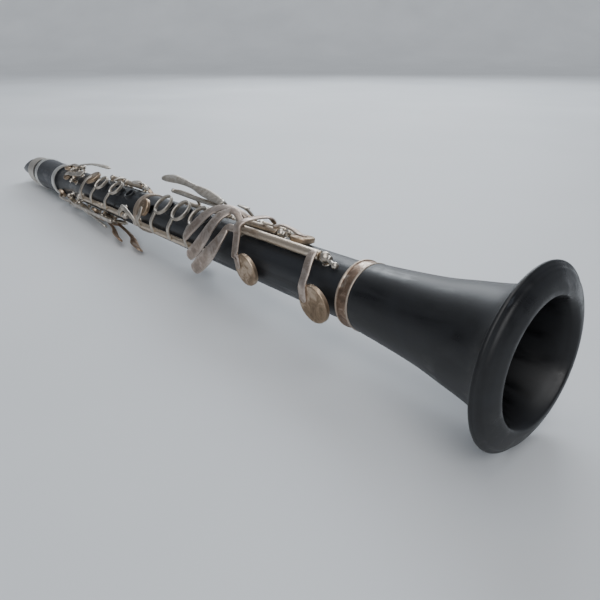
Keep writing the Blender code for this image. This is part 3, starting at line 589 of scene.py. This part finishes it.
def swing(hinge, degrees):
    """The turn of a key about its hinge."""
    angle, radius, _ = HINGES[hinge]
    pivot = at(0, angle, radius)
    turn = Matrix.Rotation(math.radians(degrees), 4, ALONG)
    return Matrix.Translation(pivot) @ turn @ Matrix.Translation(-pivot)


def swung(mesh, hinge, degrees):
    mesh.transform(swing(hinge, degrees))
    return mesh


def swung_stops(stops, hinge, degrees):
    turn = swing(hinge, degrees)
    return [(turn @ point, turn.to_3x3() @ up, width) for point, up, width in stops]


def stop(station, angle, radius, width, lean=None):
    """A ribbon's stop at a place, facing outward or along the given angle."""
    return (at(station, angle, radius), outward(angle if lean is None else lean), width)


def root(hinge, station, width):
    """The stop where an arm starts, on top of its hinge tube."""
    angle, radius, _ = HINGES[hinge]
    rise = ARM_RISE + (STOUT_TUBE - TUBE if stout(hinge) else 0.0)
    return (at(station, angle, radius + rise), outward(angle), width)


def over(place, reach, side, width=4.0, shift=0.0):
    """An arm's last two stops, from a cup's rim to its middle or beside it."""
    station, angle = place
    top = (shell(station) + CUP_HEIGHT + 0.1) * MM
    middle = ALONG * (station + shift - LENGTH / 2) * MM + outward(angle) * top
    rim = middle + around(angle) * side * reach * MM
    return [(rim, outward(angle), width), (middle, outward(angle), width * 0.8)]


# Body pieces.


def rounded(low, high, inner, outer):
    """A band with soft corners."""
    corner = 0.35
    cut = corner * 0.3
    half = [(inner, high), (outer - corner, high), (outer - cut, high - cut), (outer, high - corner)]
    return half + [(radius, low + high - height) for radius, height in reversed(half)]


def two_edged(low, high, inner, outer):
    """A band with a raised bead along each edge."""
    middle = (low + high) / 2
    hollow = outer - 0.5
    half = [(inner, low), (outer - 0.3, low), (outer, low + 0.3), (outer, low + 0.9), (outer - 0.25, low + 1.25)]
    half += [(hollow, low + 1.5), (hollow + 0.12, middle - 0.4)]
    return half + [(radius, low + high - height) for radius, height in reversed(half)]


def arc(centre, radius, start, end, count):
    """Points round an arc, from one angle in degrees to another."""
    turns = [math.radians(start + (end - start) * k / (count - 1)) for k in range(count)]
    return [(centre[0] + radius * math.cos(t), centre[1] + radius * math.sin(t)) for t in turns]


def smooth(points, per=6):
    """The curve through (radius, height) points, as such points."""
    return [tuple(row) for row in curved(points, per)]


def bell_shape():
    profile = [(16.2, BELL_TOP), (16.2, 88.5), (17.2, 88.5)]
    # The flare's outside, the rim's bead, the groove under it and the front face.
    profile += smooth(
        [(17.6, 88.2), (19.0, 70), (21.0, 50), (23.6, 35), (26.4, 20), (29.6, 12.2), (33.4, 8.6), (36.9, 7.5)]
    )
    profile += arc((38.35, 5.75), 1.1, 125, -85, 14)
    profile += [(37.9, 4.3), (37.5, 4.1), (37.2, 3.6), (36.7, 3.0)]
    profile += smooth([(36.3, 2.65), (33.4, 1.25), (30.4, 0.25), (29.2, 0.02), (28.2, 0.05)], 4)
    # The lip, the flare's inside and the socket.
    profile += [(27.6, 0.25), (27.1, 0.8)]
    profile += smooth([(26.2, 2.6), (24.4, 8), (21.2, 22), (18.0, 40), (14.6, 60), (12.6, 75.5)])
    profile += [(SOCKET, 75.6), (SOCKET, BELL_TOP)]
    show("bell_shape", turned(profile, bore_frame(), 144), FIXED, LOOKS["wood"], ["bell"])


def chimney(station, angle, outer, inner):
    """A raised tone hole's wall, rooted inside the body."""
    foot = 12.5
    base = body_radius(station)
    rim = base + 2.0
    profile = [(inner, foot), (outer + 0.35, foot), (outer + 0.35, base - 0.15), (outer, base + 0.5)]
    profile += [(outer, rim - 0.35), (outer - 0.3, rim), (inner + 0.3, rim), (inner, rim - 0.35)]
    return turned(profile, facing(station, angle, 0), 40)


def joint_shape(name, profile, raised, holes):
    """A turned joint with raised holes (station, angle, outer radius, radius) and sunk ones without a wall."""
    drills = holes + [(station, angle, inner + 0.05) for station, angle, _, inner in raised]
    cutters = [bar(at(station, angle, 8.5), at(station, angle, 24), radius, 40) for station, angle, radius in drills]
    body = combined(turned(profile, bore_frame(), 112), joined(cutters), "DIFFERENCE")
    rims = [chimney(*hole) for hole in raised]
    show(name + "_shape", joined([body] + rims), FIXED, LOOKS["wood"], [name])


def body_shapes():
    bell_shape()
    low, high = body_radius(BELL_TOP), body_radius(JOINT_MIDDLE)
    profile = [(high - 1.2, 331.9), (high - 1.2, 325.6), (high - 0.25, 325.6), (high, 325.3), (low, 97.8)]
    profile += [(low - 0.35, 97.4), (TENON, 97.4), (TENON, 93), (CORK_BED, 93), (CORK_BED, 80), (TENON, 80)]
    profile += [(TENON, 76), (10.2, 76), (8.2, 130), (BORE, 190), (BORE, 313), (SOCKET, 313), (SOCKET, 331.9)]
    holes = [(s, a, 4.6) for s, a in LOW_HOLES.values()] + [(*LOWER_PAD_HOLE, 3.6)]
    joint_shape("lower_joint", profile, [(s, 0, 5.0, 3.7) for s in RING_HOLES], holes)
    low, high = body_radius(JOINT_MIDDLE), body_radius(JOINT_BARREL)
    profile = [(TENON, 541), (TENON, 538), (CORK_BED, 538), (CORK_BED, 527), (TENON, 527), (TENON, 523.6)]
    profile += [(high - 0.3, 523.6), (high, 523.2), (low, 332.9), (low - 0.3, 332.4), (TENON, 332.4), (TENON, 329)]
    profile += [(CORK_BED, 329), (CORK_BED, 318), (TENON, 318), (TENON, 314), (BORE, 314), (BORE, 541)]
    raised = [(*UPPER_RING_HOLES["bridge"], 4.8, 3.5), (*UPPER_RING_HOLES["index"], 4.8, 3.5)]
    raised += [(*LEFT_HAND_HOLE, 4.8, 3.5), (*THUMB_HOLE, 4.8, 3.5), (*REGISTER_HOLE, 2.6, 1.6)]
    joint_shape("upper_joint", profile, raised, [(s, a, 2.7) for s, a in UPPER_HOLES.values()])
    profile = [(15.2, 588.9), (15.2, 581.5)]
    profile += smooth([(16.4, 581.4), (15.9, 569), (15.75, 556.5), (15.9, 544), (16.4, 531.6)], 5)
    profile += [(15.2, 531.5), (15.2, 524.1), (SOCKET, 524.1), (SOCKET, 542), (BORE, 542), (BORE, 571)]
    profile += [(SOCKET, 571), (SOCKET, 588.9)]
    show("barrel_shape", turned(profile, bore_frame(), 96), FIXED, LOOKS["barrel"], ["barrel"])
    top = body_radius(JOINT_MIDDLE - 0.01)
    for name, low, high, inner, outer in (
        ("bell_ring", 88.6, BELL_TOP, 16.5, 17.85),
        ("middle_ring", 326.1, 331.9, top - 0.9, top + 1.1),
        ("barrel_lower_ring", 524.05, 530.9, 15.5, 16.85),
        ("barrel_upper_ring", 582.1, 588.9, 15.5, 16.85),
    ):
        look = LOOKS["barrel_ring" if name.startswith("barrel") else "ring"]
        profile = two_edged(low, high, inner, outer) if name == "bell_ring" else rounded(low, high, inner, outer)
        show(name + "_shape", turned(profile, bore_frame(), 112), FIXED, look, [name])


# Hinges.


def post(place, height, neck, head):
    """A post in the body: a round foot, a waisted neck and a ball."""
    profile = [(0, -0.5), (neck + 1.3, -0.5), (neck + 1.3, 0.25), (neck + 1.05, 0.5), (neck + 0.35, 0.75)]
    profile += [(neck, height * 0.35), (neck - 0.1, height * 0.6)]
    lowest = math.degrees(math.asin(-math.sqrt(1 - ((neck - 0.1) / head) ** 2)))
    profile += arc((0, height), head, lowest, 89.9, 14) + [(0, height + head)]
    return turned(profile, place, 28)


def rod_end(middle, axis, radius, length):
    """A rounded screw head at the end of a rod."""
    turn = axis.to_track_quat("Z", "Y").to_matrix().to_4x4()
    profile = [(0, -1.5), (radius, -1.5), (radius, length - 0.35), (radius - 0.3, length), (0, length + 0.1)]
    return turned(profile, Matrix.Translation(middle) @ turn, 20)


def hinges():
    for name, (angle, radius, stations) in HINGES.items():
        big = STOUT_BALL if stout(name) else POST_BALL
        parts = [bar(at(stations[0] - 3.4, angle, radius), at(stations[-1] + 3, angle, radius), ROD)]
        for station in stations:
            base = body_radius(station)
            head = big if station == stations[0] else POST_BALL
            parts.append(post(facing(station, angle, base), radius - base, POST_NECK, head))
        parts.append(rod_end(at(stations[0] - big + 0.1, angle, radius), -ALONG, 1.7, 1.2))
        if stout(name):
            tip = at(stations[0] - 9, angle + 7, radius - 0.6)
            parts.append(bar(tip, at(stations[0], angle, radius), ROD))
            parts.append(ball(tip, SMALL_BALL))
        show(name + "_shape", joined(parts), FIXED, LOOKS["post"], [name])
    for name, (station, angle, radius, half) in CROSS_HINGES.items():
        across = around(angle)
        middle = at(station, angle, radius)
        parts = [bar(middle - across * (half + 3.5) * MM, middle + across * (half + 3.5) * MM, ROD)]
        for sign in (-1, 1):
            reach = half + END_GAP + SMALL_BALL
            head = middle + across * sign * reach * MM
            spread = math.degrees(math.atan2(sign * reach, radius))
            foot = at(station, angle + spread, body_radius(station))
            up = (head - foot).normalized()
            rows = Matrix((ALONG, up.cross(ALONG), up)).transposed().to_4x4()
            parts.append(post(Matrix.Translation(foot) @ rows, (head - foot).length / MM, SMALL_NECK, SMALL_BALL))
        parts.append(rod_end(middle + across * (half + 4.1) * MM, across, 1.2, 0.8))
        show(name + "_shape", joined(parts), FIXED, LOOKS["post"], [name])


# Keys. Arms and touches are smooth straps, and tubes, rings and cups are turned.


def tube_of(hinge, first=0, second=1):
    """The tube that turns on a hinge's rod between two of its posts, with a groove near each end."""
    angle, radius, stations = HINGES[hinge]
    wide = STOUT_TUBE if stout(hinge) else TUBE
    deep = wide - TUBE_GROOVE
    start = stations[first] + END_GAP + (STOUT_BALL if stout(hinge) and not first else POST_BALL)
    end = stations[second] - END_GAP - POST_BALL
    place = bore_frame()
    place.translation = at(0, angle, radius)
    half = [(wide - TUBE_CORNER, start), (wide, start + TUBE_CORNER), (wide, start + 1.5), (deep, start + 1.6)]
    half += [(deep, start + 1.8), (wide, start + 1.9)]
    outer = half + [(across, start + end - height) for across, height in reversed(half)]
    return turned(outer + [(TUBE_BORE, end), (TUBE_BORE, start)], place, 32)


def cross_tube(name):
    station, angle, radius, half = CROSS_HINGES[name + "_hinge"]
    place = Matrix((outward(angle), ALONG, outward(angle).cross(ALONG))).transposed().to_4x4()
    place.translation = at(station, angle, radius)
    profile = [(TUBE - 0.1, half), (TUBE, half - TUBE_CORNER), (TUBE, TUBE_CORNER - half), (TUBE - 0.1, -half)]
    return turned(profile + [(TUBE_BORE, -half), (TUBE_BORE, half)], place, 28)


def cup_shape(place, radius, base, filled=False):
    """A flat cup with a round shoulder, hollow under it for a pad or filled with one."""
    top = smooth([(0.02, CUP_HEIGHT), (radius * 0.5, CUP_HEIGHT), (radius * 0.82, CUP_HEIGHT - 0.12)], 5)
    profile = [(0, CUP_HEIGHT)] + top[1:]
    profile += arc((radius - 0.9, CUP_HEIGHT - 1.15), 0.9, 75, 0, 6)
    if filled:
        profile += [(radius, 0.1), (radius - 0.15, 0), (radius - 0.5, -0.05), (radius - 0.9, -0.7), (0, -0.7)]
    else:
        inner = radius - CUP_WALL
        profile += [(radius, 0.12), (radius - 0.12, 0), (inner + 0.1, 0), (inner, 0.1), (inner, 1.5), (0, 1.5)]
    return turned(profile, facing(*place, base), 64)


def pad_shape(place, radius, base):
    inner = radius - CUP_WALL - 0.25
    profile = [(0, 1.2), (inner, 1.2), (inner, -0.1)] + arc((inner - 0.6, -0.15), 0.6, 0, -80, 5)
    return turned(profile + [(inner * 0.55, -0.68), (0, -0.62)], facing(*place, base), 48)


def ring_shape(station, face, outer, inner, base):
    profile = arc((outer - 0.45, RING_HEIGHT - 0.45), 0.45, 100, 0, 6) + [(outer, 0.35), (outer - 0.3, 0.02)]
    profile += [(inner + 0.25, 0.02), (inner, 0.3), (inner, RING_HEIGHT - 0.9)]
    profile += [(inner + 0.12, RING_HEIGHT - 0.35), (inner + 0.5, RING_HEIGHT - 0.02)]
    return turned(profile, facing(station, face, base), 64)


def key_shape(name, arms, crisp, cups=(), pad=None, look="key"):
    """The first crisp part is the hinge tube, which keeps a browner tarnish than the arms that fingers rub."""
    show(name + "_shape", joined([united(arms)] + crisp[1:]), name, LOOKS[look], [name])
    show(name + "_tube", crisp[0], name, LOOKS["rod"], [])
    for number, cup in enumerate(cups):
        show(f"{name}_cup_{number + 1}", cup, name, LOOKS["cup"], [])
    if pad:
        node = name.replace("_key", "_pad")
        show(node + "_shape", pad, name, LOOKS["skin"], [node])


def hinged_cup(hinge, place, radius, opening=0.0):
    """A cup and its pad, swung open."""
    base = shell(place[0])
    cup = swung(cup_shape(place, radius, base), hinge, opening)
    return cup, swung(pad_shape(place, radius, base), hinge, opening)


def low_e():
    hinge = "low_e_hinge"
    place = LOW_HOLES["low_e"]
    cup, pad = hinged_cup(hinge, place, 10.4, LOW_E_OPEN)
    stops = [root(hinge, 120.4, 5.4), stop(118.4, 14, 21.9, 5.4), stop(116.2, 34, 22.1, 5.6)]
    stops += swung_stops(over(place, 8.4, -1, 5.8, 5.6), hinge, LOW_E_OPEN)
    touch = [root(hinge, 184.5, 3.4), stop(188.5, -7, 24.4, 3.8), stop(194, -12, 26.6, 4.8)]
    touch += [stop(s, a, r, w, lean) for s, a, r, w, lean in (
        (199, -11, 26.9, 7.0, 0),
        (202.5, 2, 27.0, 8.6, 12),
        (204, 18, 26.6, 8.8, 28),
        (207.5, 38, 26.2, 8.8, 46),
        (215.5, 58, 26.2, 8.4, 60),
        (225, 72, 27.2, 6.8, 68),
    )]
    key_shape("low_e_key", [ribbon(stops), ribbon(touch, 1.9)], [tube_of(hinge)], [cup], pad, "touch")


def low_f():
    hinge = "low_f_hinge"
    place = LOW_HOLES["low_f"]
    cup, pad = hinged_cup(hinge, place, 9.8, LOW_F_OPEN)
    stops = [root(hinge, 180, 5.0)]
    stops += [stop(180, a, r, 5.8) for a, r in ((-46, 23.4), (-29, 23.9), (-12, 25.2), (0, 27.0), (9, 27.2))]
    stops += [stop(179.3, 17, 24.8, 5.8), stop(178.4, 28, 23.2, 5.8), stop(176.8, 46, 22.8, 5.8)]
    stops += swung_stops(over(place, 8.0, -1, 5.8, 5.2), hinge, LOW_F_OPEN)
    touch = [stop(179.4, 13, 25.8, 4), stop(186, 11, 25.0, 4.4)]
    touch += [stop(s, a, r, w, lean) for s, a, r, w, lean in (
        (191.5, 13, 24.6, 5.4, 18),
        (191.8, 27, 25.0, 7.4, 34),
        (193.6, 43, 26.4, 8.6, 52),
        (198.6, 58, 27.8, 9.2, 64),
        (209.5, 75, 29.2, 8.8, 74),
        (218, 85, 30.2, 6.6, 80),
    )]
    key_shape("low_f_key", [ribbon(stops), ribbon(touch, 1.9)], [tube_of(hinge)], [cup], pad, "touch")


def a_flat():
    hinge = "a_flat_hinge"
    place = LOW_HOLES["a_flat"]
    cup, pad = hinged_cup(hinge, place, 7.0)
    station, angle = place
    top = shell(station) + CUP_HEIGHT
    arm = [root(hinge, 168, 3.6), stop(163, -37, 22.0, 3.6), stop(154, -39, 21.2, 3.6)]
    arm += [stop(station + 3, angle, top + 0.3, 3.8), stop(station - 3, angle, top + 0.1, 3)]
    touch = [root(hinge, 194, 3.4), stop(198, -27, 23.4, 3.8)]
    touch += [stop(s, a, r, w, lean) for s, a, r, w, lean in (
        (203, -22, 25.4, 4.4, -12),
        (208.5, -17, 26.4, 5.2, -6),
        (215, -8, 26.2, 7.0, 4),
        (219, 6, 25.7, 8.0, 16),
        (222.4, 22, 25.2, 8.0, 30),
        (227, 36.5, 25.0, 6.6, 42),
        (231, 50, 25.3, 4.4, 52),
    )]
    key_shape("a_flat_key", [ribbon(arm), ribbon(touch, 1.8)], [tube_of(hinge)], [cup], pad, "touch")


def f_sharp():
    hinge = "f_sharp_hinge"
    place = LOW_HOLES["f_sharp"]
    cup, pad = hinged_cup(hinge, place, 8.0, F_SHARP_OPEN)
    arm = [root(hinge, 201, 3.8), stop(204, -99, 21.2, 3.8)]
    arm = swung_stops(arm + over(place, 7.8, -1, 4.2), hinge, F_SHARP_OPEN)
    touch = [root(hinge, 216, 3.6)]
    touch += [stop(s, a, r, w) for s, a, r, w in (
        (216, -94, 23.4, 3.4),
        (217, -74, 24.6, 3.6),
        (217, -60, 25.0, 4.4),
        (213, -50, 25.2, 6.2),
        (207, -45, 25.2, 6.4),
        (202, -43, 25.0, 4.4),
    )]
    key_shape("f_sharp_key", [ribbon(arm), ribbon(touch, 1.8)], [tube_of(hinge)], [cup], pad)


def levers():
    hinge = "lever_hinge"
    web = [root(hinge, 244, 4), stop(244, -70, 24.6, 4), stop(246, -50, 27.4, 4), stop(248, -36, 27.8, 4)]
    web.append(stop(249, -32, 28.4, 4))
    leaf = [stop(s, a, r, w, -4) for s, a, r, w in (
        (218, -24, 26.6, 4.4),
        (232, -29.5, 27.2, 6.4),
        (249, -34.5, 28.4, 7.2),
        (266, -36.5, 30.0, 4.4),
        (283, -37, 31.3, 6.2),
        (295, -33, 32.0, 8.6),
        (304, -29, 31.8, 4.8),
    )]
    key_shape("left_e_lever", [ribbon(web), ribbon(leaf, 1.9)], [tube_of(hinge, 0, 1)])
    web = [root(hinge, 282, 4), stop(282, -66, 22.6, 4), stop(280, -48, 23.4, 4), stop(277, -34, 23.6, 4)]
    web.append(stop(276, -29, 23.9, 4))
    leaf = [stop(s, a, r, w, -8) for s, a, r, w in (
        (224, -31.5, 23.0, 3.2),
        (240, -29.5, 23.0, 4.0),
        (257, -29, 23.4, 4.0),
        (276, -30, 24.0, 4.8),
        (288, -28, 24.2, 3.4),
    )]
    knob = [ball(at(288, -28, 24.2), 1.7)]
    key_shape("left_f_sharp_lever", [ribbon(web), ribbon(leaf, 1.9)], [tube_of(hinge, 1, 2)] + knob)


def ring_parts(hinge, station, face, outer, inner, base, opening):
    """A finger ring and the stem that joins it to its hinge tube."""
    hinge_angle = HINGES[hinge][0]
    rim = math.hypot(outer - 0.8, base + 1.4)
    edge = face + math.degrees(math.atan2(outer - 0.8, base + 1.4))
    stem = [
        root(hinge, station + 6, 3.4),
        stop(station + 4.5, (hinge_angle + edge) / 2, rim + 1.4, 3.0),
        stop(station + 2.5, edge, rim, 3.4),
    ]
    ring = swung(ring_shape(station, face, outer, inner, base), hinge, opening)
    return ribbon(swung_stops(stem, hinge, opening), 1.7), ring


def lower_rings():
    hinge = "lower_ring_hinge"
    arms, crisp = [], [tube_of(hinge)]
    for station in RING_HOLES:
        base = body_radius(station) + 1.4
        stem, ring = ring_parts(hinge, station, 0, 8.3, 6.8, base, LOWER_RINGS_OPEN)
        arms.append(stem)
        crisp.append(ring)
    cup, pad = hinged_cup(hinge, LOWER_PAD_HOLE, 6.6, LOWER_RINGS_OPEN)
    arm = [root(hinge, 311, 4), stop(310, 52, 20.6, 4)] + over(LOWER_PAD_HOLE, 6.4, 1)
    bridge = [root(hinge, 316, 4), stop(320, 54, 20.4, 4), stop(331, 42, 20.4, 4), stop(340, 38, 20.2, 4)]
    arms += [ribbon(swung_stops(stops, hinge, LOWER_RINGS_OPEN)) for stops in (arm, bridge)]
    key_shape("lower_ring_key", arms, crisp, [cup], pad)


def upper_rings():
    hinge = "upper_ring_hinge"
    station = UPPER_RING_HOLES["bridge"][0]
    stem, ring = ring_parts(hinge, station, 0, 7.2, 5.8, body_radius(station) + 1.3, UPPER_RINGS_OPEN)
    bridge = [root(hinge, 350, 4), stop(348, 54, 19.0, 4), stop(344, 44, 17.6, 4), stop(337, 40, 17.6, 4)]
    arms = [stem, ribbon(swung_stops(bridge, hinge, UPPER_RINGS_OPEN))]
    key_shape("bridge_key", arms, [tube_of(hinge, 0, 1), ring])
    station = UPPER_RING_HOLES["index"][0]
    stem, ring = ring_parts(hinge, station, 0, 7.2, 5.8, body_radius(station) + 1.3, UPPER_RINGS_OPEN)
    place = UPPER_HOLES["index"]
    cup, pad = hinged_cup(hinge, place, 7.6, UPPER_RINGS_OPEN)
    arm = [root(hinge, 434, 4.4), stop(432, 44, 20.6, 4.4)] + over(place, 7.4, 1, 4.6)
    arms = [stem, ribbon(swung_stops(arm, hinge, UPPER_RINGS_OPEN))]
    key_shape("index_ring_key", arms, [tube_of(hinge, 1, 2), ring], [cup], pad)


def left_hand_keys():
    hinge = "upper_left_hinge"
    place = UPPER_HOLES["c_sharp"]
    arm = [root(hinge, 366, 3.6), stop(364, -60, 20.2, 3.6)] + over(place, 6.2, 1, 3.8)
    touch = [root(hinge, 357, 3.4), stop(354, -34, 21.6, 3.6), stop(351, -24, 22.8, 5, -24)]
    touch += [stop(344, -22, 23.2, 6.5, -24), stop(339, -22, 23.4, 4, -24)]
    cup = cup_shape(place, 6.4, shell(place[0]), filled=True)
    key_shape("c_sharp_key", [ribbon(arm), ribbon(touch)], [tube_of(hinge, 0, 1)], [cup])
    place = UPPER_HOLES["e_flat"]
    arm = [root(hinge, 403, 3.2), stop(403, -62, 19.8, 3.2)] + over(place, 4.6, 1, 3.4)
    touch = [root(hinge, 394, 3.2), stop(391, -30, 20.0, 3.2), stop(388, -14, 19.4, 2.4)]
    cup = cup_shape(place, 4.8, shell(place[0]), filled=True)
    key_shape("e_flat_key", [ribbon(arm), ribbon(touch, 1.4)], [tube_of(hinge, 1, 2)], [cup])


# Keys that rock on a cross hinge: the cup's place, radius and lift, and the lever's first stops as
# (station, angle, radius, width).
SEE_SAWS = {
    "a": (UPPER_HOLES["a"], 5.6, 0, (
        (414, -34, 25.6, 4.6), (426, -33, 26.2, 8), (440, -31, 26.0, 6.0), (454, -29.5, 25.0, 4.4),
        (472, -27, 22.8, 4), (484, -24, 20.6, 4), (495, -23, 20.8, 3.6),
    )),
    "g_sharp": (UPPER_HOLES["g_sharp"], 5.2, 0, (
        (443, 3, 22.4, 5), (450, 5, 22.4, 7), (458, 8, 21.6, 4), (466, 10, 20.6, 4), (478, 12, 20.7, 3.6),
    )),
    "register": (REGISTER_HOLE, 4.6, 2.0, (
        (452, 168, 19.6, 7), (460, 170, 20.4, 6), (476, 178, 20.8, 4), (487, 180, 20.6, 4), (496, 180, 21.4, 3.6),
    )),
    "side_1": (UPPER_HOLES["side_1"], 4.8, 0, (
        (318, 112, 31.0, 6), (336, 118, 29.0, 8), (352, 126, 25.0, 4.5), (376, 132, 22.0, 3.4),
    )),
    "side_2": (UPPER_HOLES["side_2"], 4.8, 0, (
        (346, 104, 31.5, 5), (362, 106, 29.0, 6.5), (376, 112, 25.4, 4.0), (392, 117, 22.4, 3.4),
    )),
    "side_3": (UPPER_HOLES["side_3"], 4.8, 0, (
        (380, 99, 27.2, 5), (396, 100, 25.6, 5.2), (420, 101, 23.6, 3.6), (438, 103, 22.4, 3.6),
    )),
    "side_4": (UPPER_HOLES["side_4"], 4.8, 0, (
        (360, 81, 24.8, 3.6), (374, 82, 24.6, 4.0), (420, 85, 23.8, 3.6), (460, 90, 22.4, 3.6),
    )),
}


def see_saws():
    """A side key's lever also runs level over its own hinge before it turns to its cup."""
    for name, (place, radius, lift, lever) in SEE_SAWS.items():
        station, angle = place
        base = shell(station) + lift
        stops = [stop(*row) for row in lever]
        if name.startswith("side"):
            pin, pin_angle, _, _ = CROSS_HINGES[name + "_hinge"]
            stops += [stop(pin, pin_angle, 20.6, 3.6), stop(pin + 6, pin_angle, 21.7, 3.2)]
            stops.append(stop(station - 7, pin_angle, 21.7, 3.2))
        stops.append(stop(station - 1, angle, base + CUP_HEIGHT + 0.1, 3.4))
        stops.append(stop(station + 2, angle, base + CUP_HEIGHT, 2.6))
        padded = name == "a"
        cup = cup_shape(place, radius, base, filled=not padded)
        pad = pad_shape(place, radius, base) if padded else None
        look = "rusty" if name in ("side_1", "side_2") else "key"
        key_shape(name + "_key", [ribbon(stops, 1.7)], [cross_tube(name)], [cup], pad, look)


def thumb_ring():
    hinge = "thumb_hinge"
    station = THUMB_HOLE[0]
    stem, ring = ring_parts(hinge, station, 180, 6.9, 5.6, body_radius(station) + 1.2, UPPER_RINGS_OPEN)
    key_shape("thumb_ring_key", [stem], [tube_of(hinge), ring])


body_shapes()
hinges()
low_e()
low_f()
a_flat()
f_sharp()
levers()
lower_rings()
upper_rings()
left_hand_keys()
see_saws()
thumb_ring()


# The table, the light and the camera.


def backdrop(place, look):
    """A floor that curves up into a wall, well behind the instrument."""
    away = Vector((-0.76, 0.65, 0.0))
    side = away.cross(Vector((0.0, 0.0, 1.0)))
    half_width, bend, bend_start = 7.0, 2.0, 4.0
    turns = [math.radians(t) for t in range(0, 91, 6)]
    line = [(-5.0, 0.0), (-1.0, 0.0), (2.0, 0.0)]
    line += [(bend_start + bend * math.sin(t), bend - bend * math.cos(t)) for t in turns] + [(6.0, 6.0)]
    shape = bmesh.new()
    rows = [
        [shape.verts.new(away * x + side * y + Vector((0, 0, z))) for y in (-half_width, half_width)]
        for x, z in line
    ]
    for near, far in zip(rows, rows[1:]):
        shape.faces.new((near[0], far[0], far[1], near[1]))
    mesh = bpy.data.meshes.new("table_top")
    shape.to_mesh(mesh)
    shape.free()
    mesh.transform(place)
    mesh.shade_smooth()
    mesh.materials.append(look)
    thing = bpy.data.objects.new("table_top", mesh)
    bpy.context.scene.collection.objects.link(thing)


def lamp(name, place, target, size, power, colour=(1.0, 1.0, 1.0)):
    data = bpy.data.lights.new(name, "AREA")
    data.shape = "RECTANGLE"
    data.size, data.size_y = size
    data.energy = power
    data.color = colour
    thing = bpy.data.objects.new(name, data)
    thing.location = place
    thing.rotation_euler = (Vector(target) - Vector(place)).to_track_quat("-Z", "Y").to_euler()
    bpy.context.scene.collection.objects.link(thing)


def setting():
    """The bell's rim and the mouthpiece's end rest on the table, so the bore leans a little."""
    lean = math.radians(2.0)
    # Just under the lowest point of the bell's rim.
    rim_bottom = Vector((0.327, 0.0, -0.0396))
    place = Matrix.Translation(rim_bottom) @ Matrix.Rotation(lean, 4, "Y") @ Matrix.Translation((-0.3, 0.0, 0.0))
    backdrop(place, pale_table())
    world = bpy.data.worlds.new("room")
    world.use_nodes = True
    background = world.node_tree.nodes["Background"]
    background.inputs["Color"].default_value = (0.74, 0.80, 0.90, 1.0)
    background.inputs["Strength"].default_value = 0.30
    bpy.context.scene.world = world
    sky = bpy.data.lights.new("sky", "SUN")
    sky.energy = 1.5
    sky.angle = math.radians(50)
    thing = bpy.data.objects.new("sky", sky)
    thing.rotation_euler = Vector((-0.54, 0.46, -0.71)).to_track_quat("-Z", "Y").to_euler()
    bpy.context.scene.collection.objects.link(thing)
    lamp("window", (-1.3, 1.7, 1.5), (0.0, 0.0, 0.0), (1.8, 1.2), 44, (0.88, 0.94, 1.0))
    lamp("overhead", (0.2, 0.1, 1.9), (0.1, 0.0, 0.0), (1.4, 1.4), 12)


CAMERA_PLACE = (0.41056, -0.17962, 0.10555)
CAMERA_HEADING = 139.858
CAMERA_PITCH = -24.308
CAMERA_ROLL = -1.646


def camera():
    """Looks along its heading from +x, tipped down by its pitch and rolled about its view."""
    heading, pitch, roll = (math.radians(angle) for angle in (CAMERA_HEADING, CAMERA_PITCH, CAMERA_ROLL))
    turn = Matrix.Rotation(heading - math.pi / 2, 4, "Z") @ Matrix.Rotation(pitch + math.pi / 2, 4, "X")
    data = bpy.data.cameras.new("camera")
    data.lens = 32.41
    data.sensor_width = 36.0
    data.shift_x = -0.0208
    data.shift_y = 0.014
    data.clip_start = 0.01
    data.clip_end = 20.0
    thing = bpy.data.objects.new("camera", data)
    thing.matrix_world = Matrix.Translation(CAMERA_PLACE) @ turn @ Matrix.Rotation(roll, 4, "Z")
    bpy.context.scene.collection.objects.link(thing)
    bpy.context.scene.camera = thing


setting()
camera()
